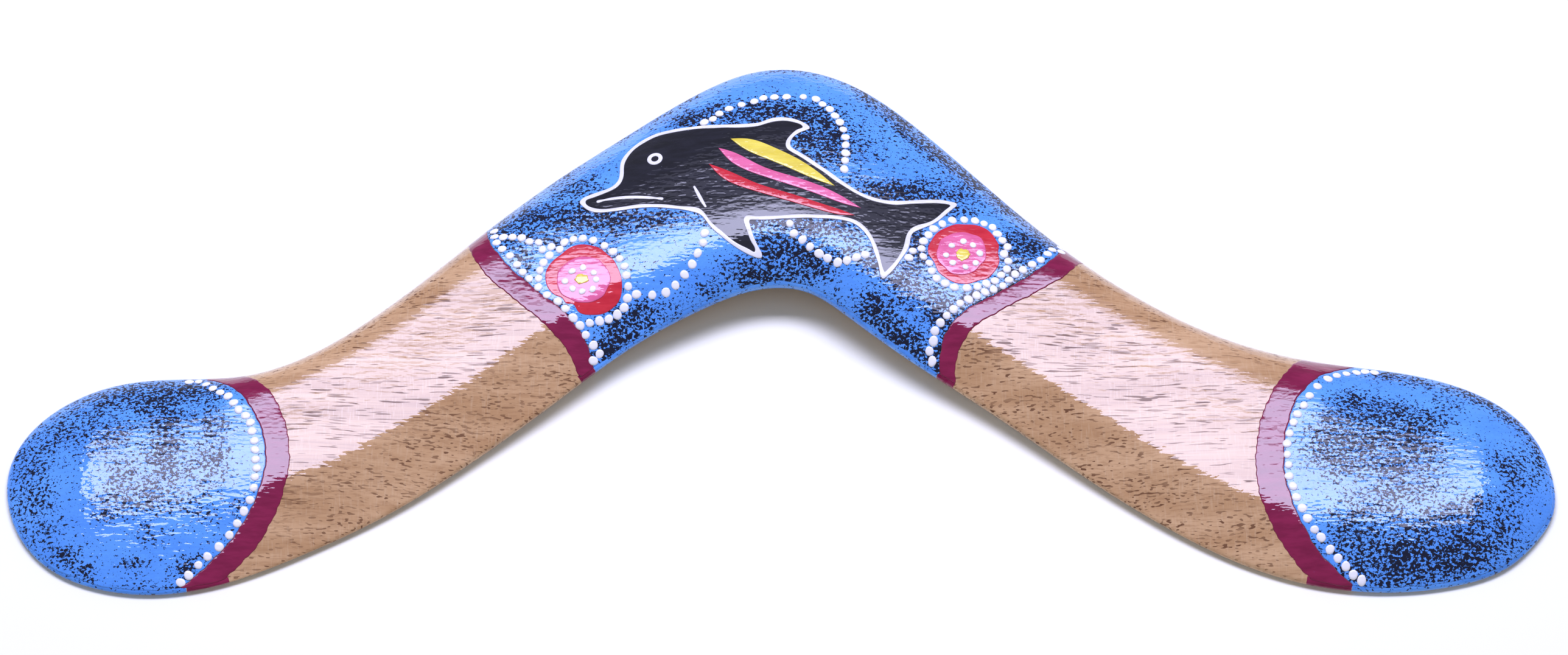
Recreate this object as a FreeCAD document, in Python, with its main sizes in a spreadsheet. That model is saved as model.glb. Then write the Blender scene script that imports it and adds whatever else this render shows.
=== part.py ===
import FreeCAD, Part
import Sketcher
import math
import os

# Returning-shape wooden boomerang, 400 mm tip to tip, bowed a little at the elbow and resting on its arms and paddles.
# Frame: millimetres, +Z up, origin at the bottom centre of the bounding box,
# +X along the span, elbow towards +Y, both tips towards -Y.
# The blade is one carved piece of wood.  Every paint film lies on it (or on the film
# below it) with real thickness, and the dots are raised paint drops.

V = FreeCAD.Vector
doc = FreeCAD.newDocument("boomerang")

# Plan outline of the blade, closed, counter-clockwise.
OUTLINE = [
    (-200.03, -41.89), (-199.22, -53.57), (-194.49, -64.16), (-186.15, -72.54), (-174.44, -77.65), (-160.12, -79.33),
    (-143.24, -76.53), (-122.99, -68.06), (-99.98, -55.19), (-77.82, -38.89), (-57.25, -22.22), (-39.93, -8.49),
    (-21.64, 2.16), (-7.28, 7.92), (5.24, 7.97), (17.24, 0.44), (32.2, -11.28), (51.81, -24.75),
    (74.14, -41.76), (96.28, -57.96), (116.82, -69.92), (136.68, -76.82), (155.72, -78.61), (172.44, -76.67),
    (185.37, -71.86), (194.07, -63.92), (199.44, -54.68), (199.83, -44.13), (196.81, -33.62), (189.83, -24.23),
    (178.29, -17.04), (161.33, -12.26), (139.55, -9.09), (118.67, -3.18), (98.24, 7.52), (77.52, 23.08),
    (55.89, 43.41), (36.02, 62.52), (20.69, 73.88), (6.69, 78.83), (-7.41, 78.39), (-22.73, 71.89),
    (-42.8, 58.89), (-65.51, 42.34), (-85.82, 23.86), (-105.35, 6), (-123.06, -7.08), (-139.73, -13.52),
    (-158.08, -14.56), (-174.6, -16.59), (-186.95, -22.42), (-195.66, -31.06),
]
# Ribs across the blade from the left tip centre to the right tip centre:
# trailing-edge end (back) and leading-edge end (front).
RIB_BACK = [
    (-175.42, -16.85), (-159.21, -14.59), (-146.7, -14.31), (-134.32, -12.13), (-122.66, -6.84), (-111.1, 1.21),
    (-99.4, 11.23), (-87.43, 22.33), (-74.58, 34.44), (-60.35, 46.41), (-44.3, 57.86), (-24.94, 70.6),
    (1.73, 79.29), (28.29, 68.9), (46.16, 53.03), (59.59, 39.76), (71.42, 28.49), (83.38, 18.23),
    (96.09, 8.93), (109.11, 1.21), (122.19, -4.51), (135, -8.18), (146.6, -10.18), (159.24, -11.91),
    (176.92, -16.48),
]
RIB_FRONT = [
    (-166, -79.12), (-149.45, -78.1), (-129.8, -71.32), (-111.34, -61.96), (-94.2, -51.28), (-79.16, -39.94),
    (-65.49, -29.01), (-52.71, -18.43), (-40.66, -9), (-28.42, -1.42), (-16.57, 4.64), (-6.84, 8.01),
    (-1.28, 8.73), (3.9, 8.31), (12.71, 4), (23.77, -4.84), (37.12, -14.74), (51.35, -24.43),
    (65.08, -34.7), (79.18, -45.63), (94.42, -56.69), (111.35, -67.14), (131.05, -75.38), (150.95, -78.56),
    (165.96, -77.82),
]
# Borders of the four painted bands, each from the back edge to the front edge.
LEFT_TIP_OUTER = [
    (-158.59, -11.14), (-149.46, -16.16), (-141.45, -22.75), (-135.71, -31.39), (-133.06, -41.41), (-134.03, -51.72),
    (-138.15, -61.25), (-144.28, -69.65), (-151.81, -76.82), (-160.23, -82.95),
]
LEFT_TIP_INNER = [
    (-146.05, -11.38), (-138.59, -17.21), (-132.27, -24.22), (-128.23, -32.75), (-126.72, -42.06), (-127.62, -51.47),
    (-130.65, -60.42), (-135.57, -68.48), (-142.17, -75.25), (-149.71, -80.97),
]
LEFT_INNER_OUTER = [
    (-84.63, 29.83), (-83.05, 22.69), (-80.59, 15.84), (-76.42, 9.85), (-71.28, 4.65), (-65.8, -0.2),
    (-60.47, -5.2), (-55.81, -10.83), (-52.51, -17.33), (-49.99, -24.19),
]
LEFT_INNER_INNER = [
    (-79.45, 33.38), (-78.11, 26.16), (-75.73, 19.26), (-71.46, 13.31), (-66.22, 8.18), (-60.71, 3.32),
    (-55.47, -1.81), (-51.16, -7.73), (-48.68, -14.6), (-47.21, -21.79),
]
RIGHT_INNER_INNER = [
    (77.25, 27.02), (74.16, 20.26), (69.96, 14.17), (64.24, 9.45), (57.97, 5.44), (51.71, 1.43),
    (46.04, -3.35), (42.14, -9.62), (41.33, -16.95), (41.85, -24.37),
]
RIGHT_INNER_OUTER = [
    (82.89, 24.66), (79.75, 17.74), (75.45, 11.51), (69.55, 6.74), (63.06, 2.78), (56.55, -1.15),
    (50.62, -5.88), (46.48, -12.2), (45.34, -19.67), (45.54, -27.27),
]
RIGHT_TIP_INNER = [
    (138.79, -8.03), (132.98, -15.34), (127.99, -23.23), (124.44, -31.86), (122.54, -41), (122.57, -50.33),
    (124.7, -59.41), (128.88, -67.74), (134.85, -74.91), (141.76, -81.2),
]
RIGHT_TIP_OUTER = [
    (159.71, -8.99), (149.44, -12.33), (140.35, -18.04), (133.86, -26.6), (130.4, -36.79), (129.84, -47.54),
    (131.98, -58.09), (136.76, -67.74), (144.06, -75.63), (152.95, -81.75),
]
# Centres of the raised dots, row by row.
DOT_ROWS = {
    "dots_left_tip": [
        (-154.91, -16.71), (-152.42, -16.69), (-150.18, -18.51), (-148.13, -20.74), (-145.98, -22.72), (-143.75, -24.29),
        (-142.12, -26.54), (-140.68, -28.77), (-138.73, -30.58), (-137.37, -32.65), (-136.81, -35.26), (-136.02, -38.11),
        (-135.72, -40.75), (-135.41, -43.52), (-134.96, -46.03), (-135.34, -48.5), (-135.5, -51.46), (-136.28, -54.77),
        (-137.71, -57.74), (-139.28, -61.01), (-141.16, -64.09), (-143.67, -67.17), (-146.51, -69.76), (-148.74, -72),
        (-151.11, -74.68), (-153.08, -76.51),
    ],
    "dots_left_band": [
        (-76.19, 26.46), (-75.94, 23.83), (-75.28, 21.43), (-73.69, 19.13), (-71.56, 16.93), (-69.6, 14.19),
        (-68.08, 11.83), (-66.24, 9.73), (-63.79, 7.06), (-61.45, 4.66), (-58.54, 2.63), (-56.48, 0.46),
        (-54.43, -1.95), (-52.61, -3.85), (-51.1, -6.17), (-49.07, -8.67), (-47.43, -10.7), (-49.05, -12.58),
    ],
    "dots_left_trail": [
        (-73.53, 23.2), (-71.07, 22.86), (-68.61, 22.47), (-66.52, 21.13), (-64.06, 20.8), (-63.02, 18.55),
        (-60.67, 19.32),
    ],
    "dots_left_arc": [
        (-37.89, 4.35), (-33.76, 4.21), (-30.16, 4.96), (-27.68, 6.82), (-25.31, 9.54), (-23.31, 12.23),
        (-21.89, 15.16), (-20.47, 17.98), (-20.06, 20.77),
    ],
    "dots_top_arc": [
        (-20.52, 57.19), (-18.22, 58.11), (-16.5, 59.91), (-13.91, 61.48), (-10.55, 62.65), (-7.14, 63.6),
        (-4.7, 64.81), (-1.72, 65.02), (1.54, 65.18), (6.05, 65.3), (9.47, 64.71), (11.2, 62.87),
        (13.14, 61.14), (14.53, 58.84), (15.82, 56.6), (16.72, 54), (17.29, 51.36), (17.32, 48.74),
        (17.31, 45.99), (17.11, 43.52), (16.89, 40.7),
    ],
    "dots_low_arc": [
        (2.38, 23.22), (3.45, 20.45), (5.73, 18.71), (7.7, 16.73), (10.09, 14.88), (12.32, 13.58),
        (14.98, 12.31), (17.45, 12.66), (19.89, 13.39), (22.25, 14.19),
    ],
    "dots_right_link": [
        (33.7, 13.7), (34.79, 15.92), (37.1, 16.82),
    ],
    "dots_right_band": [
        (74.66, 22.64), (74.4, 20.18), (71.93, 19.93), (70.58, 17.84), (68.63, 15.39), (66.31, 13.75),
        (63.83, 11.92), (61.73, 10.56), (60.06, 8.71), (58.39, 6.86), (55.92, 5.62), (53.64, 4.63),
        (51.42, 3.5), (49.26, 2.19), (47, 0.91), (45.3, -0.92), (43.46, -2.78), (41.77, -4.66),
        (40.31, -6.67), (39.91, -9.12), (38.87, -11.37), (39.57, -13.76),
    ],
    "dots_right_tip": [
        (155.75, -13.61), (153.27, -13.39), (150.88, -14.28), (148.04, -15.38), (145.33, -16.66), (142.78, -18.5),
        (139.72, -21.63), (137.4, -24.82), (135.74, -27.84), (133.92, -30.48), (132.75, -32.94), (131.53, -36.23),
        (130.74, -39.25), (130.63, -42.47), (130.79, -45.5), (130.75, -48.71), (131.61, -51.65), (132.33, -54.75),
        (133.67, -57.79), (134.89, -60.56), (136.57, -63.54), (138.17, -65.59), (140.34, -68.65), (142.28, -70.87),
        (144.23, -72.84), (146.07, -74.88), (148.17, -76.22),
    ],
    "rosette_left_ring_dots": [
        (-61.11, 16.69), (-62.63, 14.51), (-63.48, 12.17), (-63.76, 9.7), (-58.39, 18.34), (-57.21, 20.53),
        (-54.86, 21.33), (-52.37, 21.41), (-49.59, 20.64), (-46.56, 18.7), (-44.28, 16.68), (-42.48, 14.39),
        (-41.17, 12.09), (-40.65, 9.48), (-40.09, 6.4), (-40.27, 3.35), (-41.1, 0.97), (-42.87, -0.79),
        (-45.09, -1.91), (-47.51, -2.48), (-50.08, -3.06),
    ],
    "rosette_right_ring_dots": [
        (45.44, 26.58), (48.62, 27.01), (51.5, 27.13), (53.88, 26.42), (56.15, 25.41), (57.34, 23.23),
        (58.63, 21.11), (59.92, 18.99), (58.93, 16.71), (59.99, 14.46), (59.57, 12.02), (58, 10.11),
        (56.34, 8.26), (54.06, 7.27), (51.68, 6.18), (48.9, 5.56), (45.56, 5.54), (43.18, 6.57),
        (40.93, 7.9), (39.7, 10.07), (39.11, 12.48), (37.52, 14.38), (37.67, 19.23), (39.02, 21.32),
        (40.46, 23.35), (42.78, 25.16),
    ],
}
PETAL_ROWS = {
    "rosette_left_petal_dots": [
        (-56.75, 8.36), (-54.95, 11.3), (-52.09, 12.22), (-49.23, 10.45), (-48.56, 8.46), (-49.42, 5.73),
        (-52.17, 5.18), (-54.73, 6.08),
    ],
    "rosette_right_petal_dots": [
        (48.24, 19.82), (50.74, 18.81), (52.5, 16.31), (51.36, 13.26), (48.61, 11.84), (45.27, 12.91),
        (43.55, 15.12), (45.11, 18.25),
    ],
}
# Closed borders of the rosette discs.
DISCS = {
    "rosette_left_red": [
        (-41.8, 7.96), (-42.19, 10.19), (-42.99, 12.34), (-44.14, 14.39), (-45.76, 16.11), (-47.56, 17.68),
        (-49.63, 18.94), (-51.92, 19.56), (-54.23, 19.4), (-56.31, 18.42), (-57.97, 16.84), (-59.82, 15.45),
        (-61.27, 13.46), (-62.02, 10.98), (-61.82, 8.36), (-60.71, 6.07), (-59.05, 4.42), (-57.27, 3.43),
        (-56.36, 1.88), (-54.63, 1.58), (-53.36, -0.01), (-51.55, -0.94), (-49.5, -1.04), (-47.3, -0.84),
        (-45.17, -0.01), (-43.39, 1.46), (-42.18, 3.43), (-41.67, 5.68),
    ],
    "rosette_right_red": [
        (57.41, 17.02), (57.74, 19.45), (56.79, 21.51), (55.63, 23.3), (54.18, 24.68), (52.41, 25.48),
        (50.5, 25.77), (48.54, 25.6), (46.53, 25.41), (44.55, 24.61), (42.65, 23.44), (41.01, 21.83),
        (39.79, 19.84), (38.89, 17.66), (38.87, 15.39), (40.04, 13.54), (40.77, 11.82), (41.32, 9.88),
        (42.72, 8.58), (44.3, 7.48), (46.15, 6.84), (48.13, 6.84), (50.13, 7.12), (52, 8.02),
        (54.1, 8.73), (55.82, 10.29), (57.05, 12.34), (57.7, 14.66),
    ],
    "rosette_left_pink": [
        (-44.79, 8.51), (-45.16, 10.57), (-46.2, 12.48), (-47.79, 14.07), (-49.79, 15.16), (-52, 15.62),
        (-54.19, 15.39), (-56.15, 14.47), (-57.68, 12.96), (-58.64, 11.02), (-58.94, 8.85), (-58.54, 6.69),
        (-57.5, 4.76), (-55.91, 3.26), (-53.92, 2.32), (-51.74, 2.02), (-49.57, 2.36), (-47.62, 3.29),
        (-46.08, 4.71), (-45.1, 6.51),
    ],
    "rosette_right_pink": [
        (54.22, 16.73), (53.95, 18.82), (53.06, 20.66), (51.64, 22.03), (49.81, 22.81), (47.78, 22.92),
        (45.73, 22.37), (43.87, 21.24), (42.38, 19.63), (41.41, 17.7), (41.05, 15.62), (41.34, 13.61),
        (42.24, 11.85), (43.66, 10.51), (45.47, 9.71), (47.5, 9.54), (49.53, 10.01), (51.38, 11.09),
        (52.87, 12.67), (53.85, 14.6),
    ],
    "rosette_left_yellow": [
        (-50.58, 8.79), (-50.84, 9.53), (-51.51, 10.09), (-52.42, 10.31), (-53.32, 10.14), (-53.98, 9.62),
        (-54.2, 8.88), (-53.95, 8.14), (-53.27, 7.59), (-52.37, 7.37), (-51.47, 7.55), (-50.81, 8.07),
    ],
    "rosette_right_yellow": [
        (49.82, 15.82), (49.59, 16.74), (48.94, 17.36), (48.03, 17.54), (47.12, 17.21), (46.44, 16.48),
        (46.18, 15.53), (46.4, 14.62), (47.05, 14), (47.96, 13.82), (48.87, 14.14), (49.55, 14.87),
    ],
}
# Plain dolphin silhouette: outer and inner border of its white edge line,
# the mouth stroke, the flipper stroke, the eye and three tapering flank stripes.
MOTIF_OUTER = [
    (26.84, 7.12), (26.27, 7.63), (25.89, 9.04), (24.71, 14.54), (23.08, 19.26), (20.98, 22.09),
    (18.11, 23.82), (14.09, 24.56), (10.25, 24.73), (5.46, 24.7), (1.89, 24.54), (-1.57, 24.36),
    (-5.4, 24.24), (-7.42, 24.28), (-8.27, 24.13), (-8.24, 23.28), (-7.59, 21.04), (-5.49, 16.3),
    (-4.82, 14.96), (-4.93, 14.24), (-5.67, 14.05), (-7.07, 14.39), (-11.13, 16.16), (-15.23, 19.15),
    (-18.94, 23.1), (-21.71, 26.71), (-23.57, 27.51), (-29.17, 28.86), (-34.66, 29.73), (-38.99, 29.73),
    (-44.14, 29.27), (-48.43, 29.32), (-51.18, 30.31), (-52.83, 31.99), (-53.42, 33.27), (-52.98, 34.23),
    (-51.4, 35.29), (-47.3, 36.64), (-44.48, 38.06), (-43.27, 39.76), (-43.03, 43.11), (-42.53, 47.17),
    (-40.75, 50.5), (-37.73, 53.43), (-34.02, 55.31), (-29.79, 56.04), (-24.18, 56.02), (-20.61, 55.87),
    (-16.89, 55.64), (-13.15, 55.42), (-9.54, 55.39), (-6.02, 55.65), (-3.32, 56.78), (0.23, 57.43),
    (3.63, 56.98), (6.51, 55.52), (7.6, 54.53), (7.81, 53.76), (7.15, 53.24), (5.59, 52.54),
    (3.41, 50.73), (2.57, 49.02), (2.64, 47.67), (4.07, 46.43), (9.05, 42.71), (14.21, 38.67),
    (19.22, 34.83), (23.48, 32.47), (27.81, 31.46), (32.73, 31.67), (39.18, 32.66), (43.25, 32.89),
    (45.8, 32.7), (46.75, 32.42), (46.9, 31.71), (46.24, 30.78), (43.51, 27.73), (39.57, 24.39),
    (36, 22.41), (34.88, 21.48), (34.19, 18.66), (32.21, 13.77), (29.34, 9.4), (27.62, 7.53),
]
MOTIF_INNER = [
    (27.28, 9.07), (26.97, 9.8), (26.36, 12.68), (24.64, 18.79), (22.21, 22.59), (18.79, 24.86),
    (14.18, 25.75), (9.83, 25.94), (4.36, 25.87), (0.47, 25.66), (-3.44, 25.47), (-7.39, 25.46),
    (-9.12, 25.49), (-9.71, 24.77), (-9.4, 22.88), (-7.5, 17.62), (-6.78, 16.15), (-6.85, 15.64),
    (-7.71, 15.89), (-10.58, 17.24), (-15.13, 20.7), (-19.2, 25.38), (-21.56, 28.29), (-25.71, 29.28),
    (-32.49, 30.71), (-37.82, 30.98), (-43.15, 30.56), (-47.93, 30.47), (-50.74, 31.49), (-51.83, 32.69),
    (-51.85, 33.58), (-50.58, 34.33), (-46.14, 35.75), (-43.14, 37.67), (-41.93, 40.13), (-41.77, 45.08),
    (-40.39, 48.87), (-37.34, 52.2), (-33.25, 54.27), (-28.3, 54.88), (-22.85, 54.77), (-18.9, 54.57),
    (-14.76, 54.31), (-10.51, 54.16), (-6.22, 54.4), (-3.23, 55.52), (0.71, 56.23), (4.29, 55.43),
    (5.63, 54.66), (5.87, 54.08), (4.97, 53.58), (2.77, 51.86), (1.4, 49.35), (1.48, 47.23),
    (3.35, 45.45), (9.19, 41.09), (15, 36.48), (20.25, 32.72), (25.19, 30.66), (30.57, 30.23),
    (37.44, 31.21), (42.57, 31.71), (44.35, 31.64), (45.04, 31.4), (44.59, 30.69), (42.72, 28.64),
    (38.31, 25.02), (34.67, 23.18), (33.72, 21.93), (32.49, 17.39), (29.89, 12.22), (27.93, 9.6),
]
MOUTH = [
    (-49.02, 32.97), (-47.43, 33.48), (-45.8, 33.78), (-44.15, 33.97), (-42.49, 34.05), (-40.83, 34.05),
    (-39.18, 33.95), (-37.52, 33.78), (-35.88, 33.54), (-34.26, 33.23), (-32.65, 32.85), (-31.09, 32.34),
    (-31.17, 31.99), (-32.79, 32.17), (-34.4, 32.41), (-36.02, 32.63), (-37.63, 32.82), (-39.25, 32.96),
    (-40.87, 33.05), (-42.48, 33.08), (-44.09, 33.05), (-45.7, 32.96), (-47.31, 32.79), (-48.94, 32.63),
]
FLIPPER = [
    (-22.92, 35.71), (-22.47, 35.13), (-22.12, 34.51), (-21.79, 33.88), (-21.48, 33.24), (-21.19, 32.6),
    (-20.9, 31.96), (-20.62, 31.31), (-20.34, 30.66), (-20.08, 30.02), (-19.81, 29.36), (-19.63, 28.66),
    (-19.94, 28.49), (-20.43, 29.04), (-20.82, 29.64), (-21.17, 30.27), (-21.5, 30.9), (-21.81, 31.55),
    (-22.1, 32.2), (-22.37, 32.85), (-22.63, 33.51), (-22.88, 34.18), (-23.1, 34.85), (-23.24, 35.56),
]
EYE = (-33.62, 45.74)
STRIPES = {
    "motif_stripe_yellow": ([
        (-13.47, 50.54), (-8.59, 50.29), (-2.09, 47.52), (5.2, 43.2), (11.26, 38.25), (14.47, 35.07),
    ], [
        (-13.47, 50.54), (-10.2, 47.33), (-3.71, 43.57), (3.58, 39.83), (10.04, 36.65), (14.47, 35.07),
    ]),
    "motif_stripe_pink": ([
        (-16.7, 47.69), (-12.63, 46.04), (-5.32, 41.43), (2.77, 38.07), (10.84, 34.93), (18.08, 30.79),
        (21.28, 28.46),
    ], [
        (-16.7, 47.69), (-13.43, 43.1), (-6.12, 38.52), (2.77, 34.99), (10.82, 31.86), (17.26, 29.41),
        (21.28, 28.46),
    ]),
    "motif_stripe_red": ([
        (-19.26, 42.65), (-14.22, 40.18), (-6.11, 35.63), (2.76, 32.35), (10.81, 29.42), (17.24, 27.13),
        (19.65, 26.09),
    ], [
        (-19.26, 42.65), (-15.82, 38.11), (-6.91, 33.19), (2.76, 29.78), (10.81, 27.2), (16.43, 25.99),
        (19.65, 26.09),
    ]),
}

# ---------------------------------------------------------------- driving dimensions
# Section tables: nine knots from the left tip centre, over the elbow, to the right one.
KNOTS = [-1.0, -0.8, -0.5, -0.25, 0.0, 0.25, 0.5, 0.8, 1.0]
SECTION = {
    # thickness at the crown line
    "crown": [8.4, 9.2, 10.8, 11.6, 11.8, 11.7, 11.0, 9.4, 8.6],
    # lower corner of the rim above the underside
    "rim": [0.6, 0.9, 1.9, 2.5, 2.6, 2.5, 1.9, 0.9, 0.6],
    # place of the crown line across the blade, as a share of the chord from the front edge
    "share": [0.70, 0.72, 0.70, 0.61, 0.51, 0.54, 0.57, 0.58, 0.56],
    # fullness of the front and of the back half of the section
    "front": [2.1, 2.1, 2.35, 2.65, 3.0, 3.3, 3.5, 3.2, 3.0],
    "back": [2.3, 2.2, 2.4, 2.8, 3.0, 2.9, 2.7, 2.7, 2.8],
}
DIMS = [
    ("arch_height", 7.4, "rise of the bowed blade under the middle of the elbow"),
    ("arch_reach", 52.0, "distance along the span over which the bow dies away"),
    ("rim_height", 1.0, "height of the square rim left round the plan outline"),
    ("belly_start", 0.72, "share of the half width that stays flat underneath"),
    ("stock_height", 24.0, "height of the blank the blade is cut from"),
    ("form_depth", 34.0, "depth of the forming solids"),
    ("film", 0.18, "thickness of one paint film"),
    ("film_margin", 0.8, "bare wood left inside the plan outline"),
    ("zone_height", 28.0, "height of the prisms that bound the painted zones"),
    ("dot_diameter", 2.36, "raised dots"),
    ("petal_diameter", 1.84, "small dots inside the rosettes"),
    ("dot_height", 0.5, "height of the raised dots"),
    ("eye_diameter", 4.2, "white eye"),
    ("pupil_diameter", 1.9, "black centre of the eye"),
]
for quantity, values in SECTION.items():
    for k, value in enumerate(values, start=1):
        DIMS.append(("%s_%d" % (quantity, k), value, "section table, %s at knot %d" % (quantity, k)))
sheet = doc.addObject("Spreadsheet::Sheet", "Dimensions")
sheet.Label = "Dimensions"
for row, (alias, value, note) in enumerate(DIMS, start=1):
    sheet.set("A%d" % row, note)
    sheet.set("B%d" % row, str(value))
    sheet.setAlias("B%d" % row, alias)
doc.recompute()
D = {alias: float(sheet.get(alias)) for alias, value, note in DIMS}


# ---------------------------------------------------------------- curves
def spline(points, closed=False):
    curve = Part.BSplineCurve()
    curve.interpolate([V(p[0], p[1], 0) for p in points], closed)
    return curve


OUTLINE_CURVE = spline(OUTLINE, True)


def outline_points(count, inset=0.0):
    first, last = OUTLINE_CURVE.FirstParameter, OUTLINE_CURVE.LastParameter
    result = []
    for k in range(count):
        u = first + (last - first) * k / count
        point = OUTLINE_CURVE.value(u)
        along = OUTLINE_CURVE.tangent(u)[0]
        # the outline runs counter-clockwise, so the inside is on the left
        result.append((point.x - along.y * inset, point.y + along.x * inset))
    return result


FINE_OUTLINE = outline_points(900)


def ray_length(origin, direction):
    # distance from origin to the plan outline along a unit direction
    best = None
    count = len(FINE_OUTLINE)
    for k in range(count):
        ax, ay = FINE_OUTLINE[k]
        bx, by = FINE_OUTLINE[(k + 1) % count]
        ex, ey = bx - ax, by - ay
        den = direction[0] * ey - direction[1] * ex
        if abs(den) < 1e-12:
            continue
        wx, wy = ax - origin[0], ay - origin[1]
        t = (wx * ey - wy * ex) / den
        u = (wx * direction[1] - wy * direction[0]) / den
        if t > 0 and 0 <= u < 1 and (best is None or t < best):
            best = t
    return best


# ---------------------------------------------------------------- the two carved forms
# The top is a dome over the ribs: from the rim it climbs to the crown line with a
# flat-topped power curve.  Past the last rib at each tip the same curve is swept round
# the tip centre.  The underside is flat across and turns up towards the rim.  Both forms
# carry the bow of the blade.
STATIONS = len(RIB_BACK)
ACROSS = [1.14, 1.02, 0.9, 0.76, 0.6, 0.4, 0.2, 0.0]
BEYOND = [5.0, 10.0, 14.5, 19.0, 23.0, 26.5, 30.0, 34.0]


def section(quantity, k):
    # cubic curve through the nine knots of a section table, at rib k
    half = (STATIONS - 1) / 2.0
    x = max(-1.0, min(1.0, (k - half) / half))
    ys = [D["%s_%d" % (quantity, i + 1)] for i in range(len(KNOTS))]
    i = 0
    while i < len(KNOTS) - 2 and x > KNOTS[i + 1]:
        i += 1

    def slope(j):
        if j in (0, len(KNOTS) - 1):
            return 0.0
        before, after = KNOTS[j] - KNOTS[j - 1], KNOTS[j + 1] - KNOTS[j]
        return ((ys[j + 1] - ys[j]) / after * before + (ys[j] - ys[j - 1]) / before * after) / (before + after)

    h = KNOTS[i + 1] - KNOTS[i]
    t = (x - KNOTS[i]) / h
    return ((2 * t ** 3 - 3 * t ** 2 + 1) * ys[i] + (t ** 3 - 2 * t ** 2 + t) * h * slope(i)
            + (3 * t ** 2 - 2 * t ** 3) * ys[i + 1] + (t ** 3 - t ** 2) * h * slope(i + 1))


def crown(k):
    return section("crown", k)


def rim_low(k):
    return section("rim", k)


def top_height(k, tau, power):
    high, low = crown(k), rim_low(k) + D["rim_height"]
    inner = min(tau, 1.1)
    z = low + (high - low) * (1.0 - inner ** power)
    if tau > 1.1:
        z -= (high - low) * power * 1.1 ** (power - 1.0) * (tau - 1.1)
    return z


def arch(x):
    # the blade is bowed along the span: the elbow stands clear of the table and the
    # outer arms and paddles lie flat on it
    return D["arch_height"] * math.exp(-(x / D["arch_reach"]) ** 2)


def belly_height(k, tau, power):
    start = D["belly_start"]
    rise = max(0.0, (min(tau, 1.2) - start) / (1.0 - start))
    return -0.6 + (rim_low(k) + 0.6) * rise ** 2.0


def form_grid(height):
    rows = []
    for k in range(STATIONS):
        bx, by = RIB_BACK[k]
        fx, fy = RIB_FRONT[k]
        mx = fx + (bx - fx) * section("share", k)
        my = fy + (by - fy) * section("share", k)
        row = []
        for tau in ACROSS:
            x, y = mx + (bx - mx) * tau, my + (by - my) * tau
            row.append(V(x, y, height(k, tau, section("back", k)) + arch(x)))
        for tau in reversed(ACROSS[:-1]):
            x, y = mx + (fx - mx) * tau, my + (fy - my) * tau
            row.append(V(x, y, height(k, tau, section("front", k)) + arch(x)))
        rows.append(row)
    for k, side in ((0, -1), (STATIONS - 1, 1)):
        bx, by = RIB_BACK[k]
        fx, fy = RIB_FRONT[k]
        mx = fx + (bx - fx) * section("share", k)
        my = fy + (by - fy) * section("share", k)
        width = math.hypot(bx - fx, by - fy)
        ux, uy = (bx - fx) / width, (by - fy) / width
        ox, oy = (uy, -ux) if side > 0 else (-uy, ux)
        back, front = math.hypot(bx - mx, by - my), math.hypot(fx - mx, fy - my)
        offsets = [back * t for t in ACROSS] + [-front * t for t in reversed(ACROSS[:-1])]
        extra = []
        for away in BEYOND:
            row = []
            for off in offsets:
                x, y = mx + ux * off + ox * away, my + uy * off + oy * away
                dist = math.hypot(x - mx, y - my)
                reach = ray_length((mx, my), ((x - mx) / dist, (y - my) / dist))
                turn = math.acos(max(-1.0, min(1.0, off / dist)))
                swing = (1.0 - math.cos(turn)) / 2.0
                power = section("back", k) + (section("front", k) - section("back", k)) * swing
                row.append(V(x, y, height(k, dist / reach, power) + arch(x)))
            extra.append(row)
        rows = (extra[::-1] + rows) if side < 0 else (rows + extra)
    return rows


def form_face(name, height):
    surface = Part.BSplineSurface()
    surface.interpolate(form_grid(height))
    obj = doc.addObject("Part::Feature", name)
    obj.Shape = surface.toShape()
    return obj


top_form = form_face("top_form", top_height)
belly_form = form_face("belly_form", belly_height)


def extrusion(name, base, forward, reverse=None):
    obj = doc.addObject("Part::Extrusion", name)
    obj.Base = base
    obj.DirMode = "Custom"
    obj.Dir = V(0, 0, 1)
    obj.Solid = True
    obj.LengthFwd = 1.0
    obj.setExpression("LengthFwd", forward)
    if reverse:
        obj.setExpression("LengthRev", reverse)
    return obj


# ---------------------------------------------------------------- prisms from sketches
def plane_of(body, role):
    for feature in body.Origin.OriginFeatures:
        if feature.Role == role:
            return feature
    raise RuntimeError("no plane " + role)


def sketch_body(name):
    body = doc.addObject("PartDesign::Body", name + "_zone")
    if hasattr(body, "AllowCompound"):
        body.AllowCompound = True
    sketch = body.newObject("Sketcher::SketchObject", name + "_sketch")
    sketch.AttachmentSupport = [(plane_of(body, "XY_Plane"), "")]
    sketch.MapMode = "FlatFace"
    return body, sketch


def pad(body, sketch, name, length="Dimensions.zone_height"):
    feature = body.newObject("PartDesign::Pad", name + "_pad")
    feature.Profile = sketch
    feature.Length = 20.0
    feature.setExpression("Length", length)
    doc.recompute()
    return body


def closed_zone(name, loops, length="Dimensions.zone_height", arcs=None):
    # loops of one closed spline each; arcs gives into how many equal runs of that same
    # curve each loop is divided, so that long winding borders have short edges
    body, sketch = sketch_body(name)
    for points, count in zip(loops, arcs or [1] * len(loops)):
        whole = spline(points, True)
        if count == 1:
            sketch.addGeometry(whole, False)
            continue
        first, last = whole.FirstParameter, whole.LastParameter
        ids = []
        for k in range(count):
            run = whole.copy()
            run.segment(first + (last - first) * k / count, first + (last - first) * (k + 1) / count)
            ids.append(sketch.addGeometry(run, False))
        for a, b in zip(ids, ids[1:] + ids[:1]):
            sketch.addConstraint(Sketcher.Constraint("Coincident", a, 2, b, 1))
    return pad(body, sketch, name, length)


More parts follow.
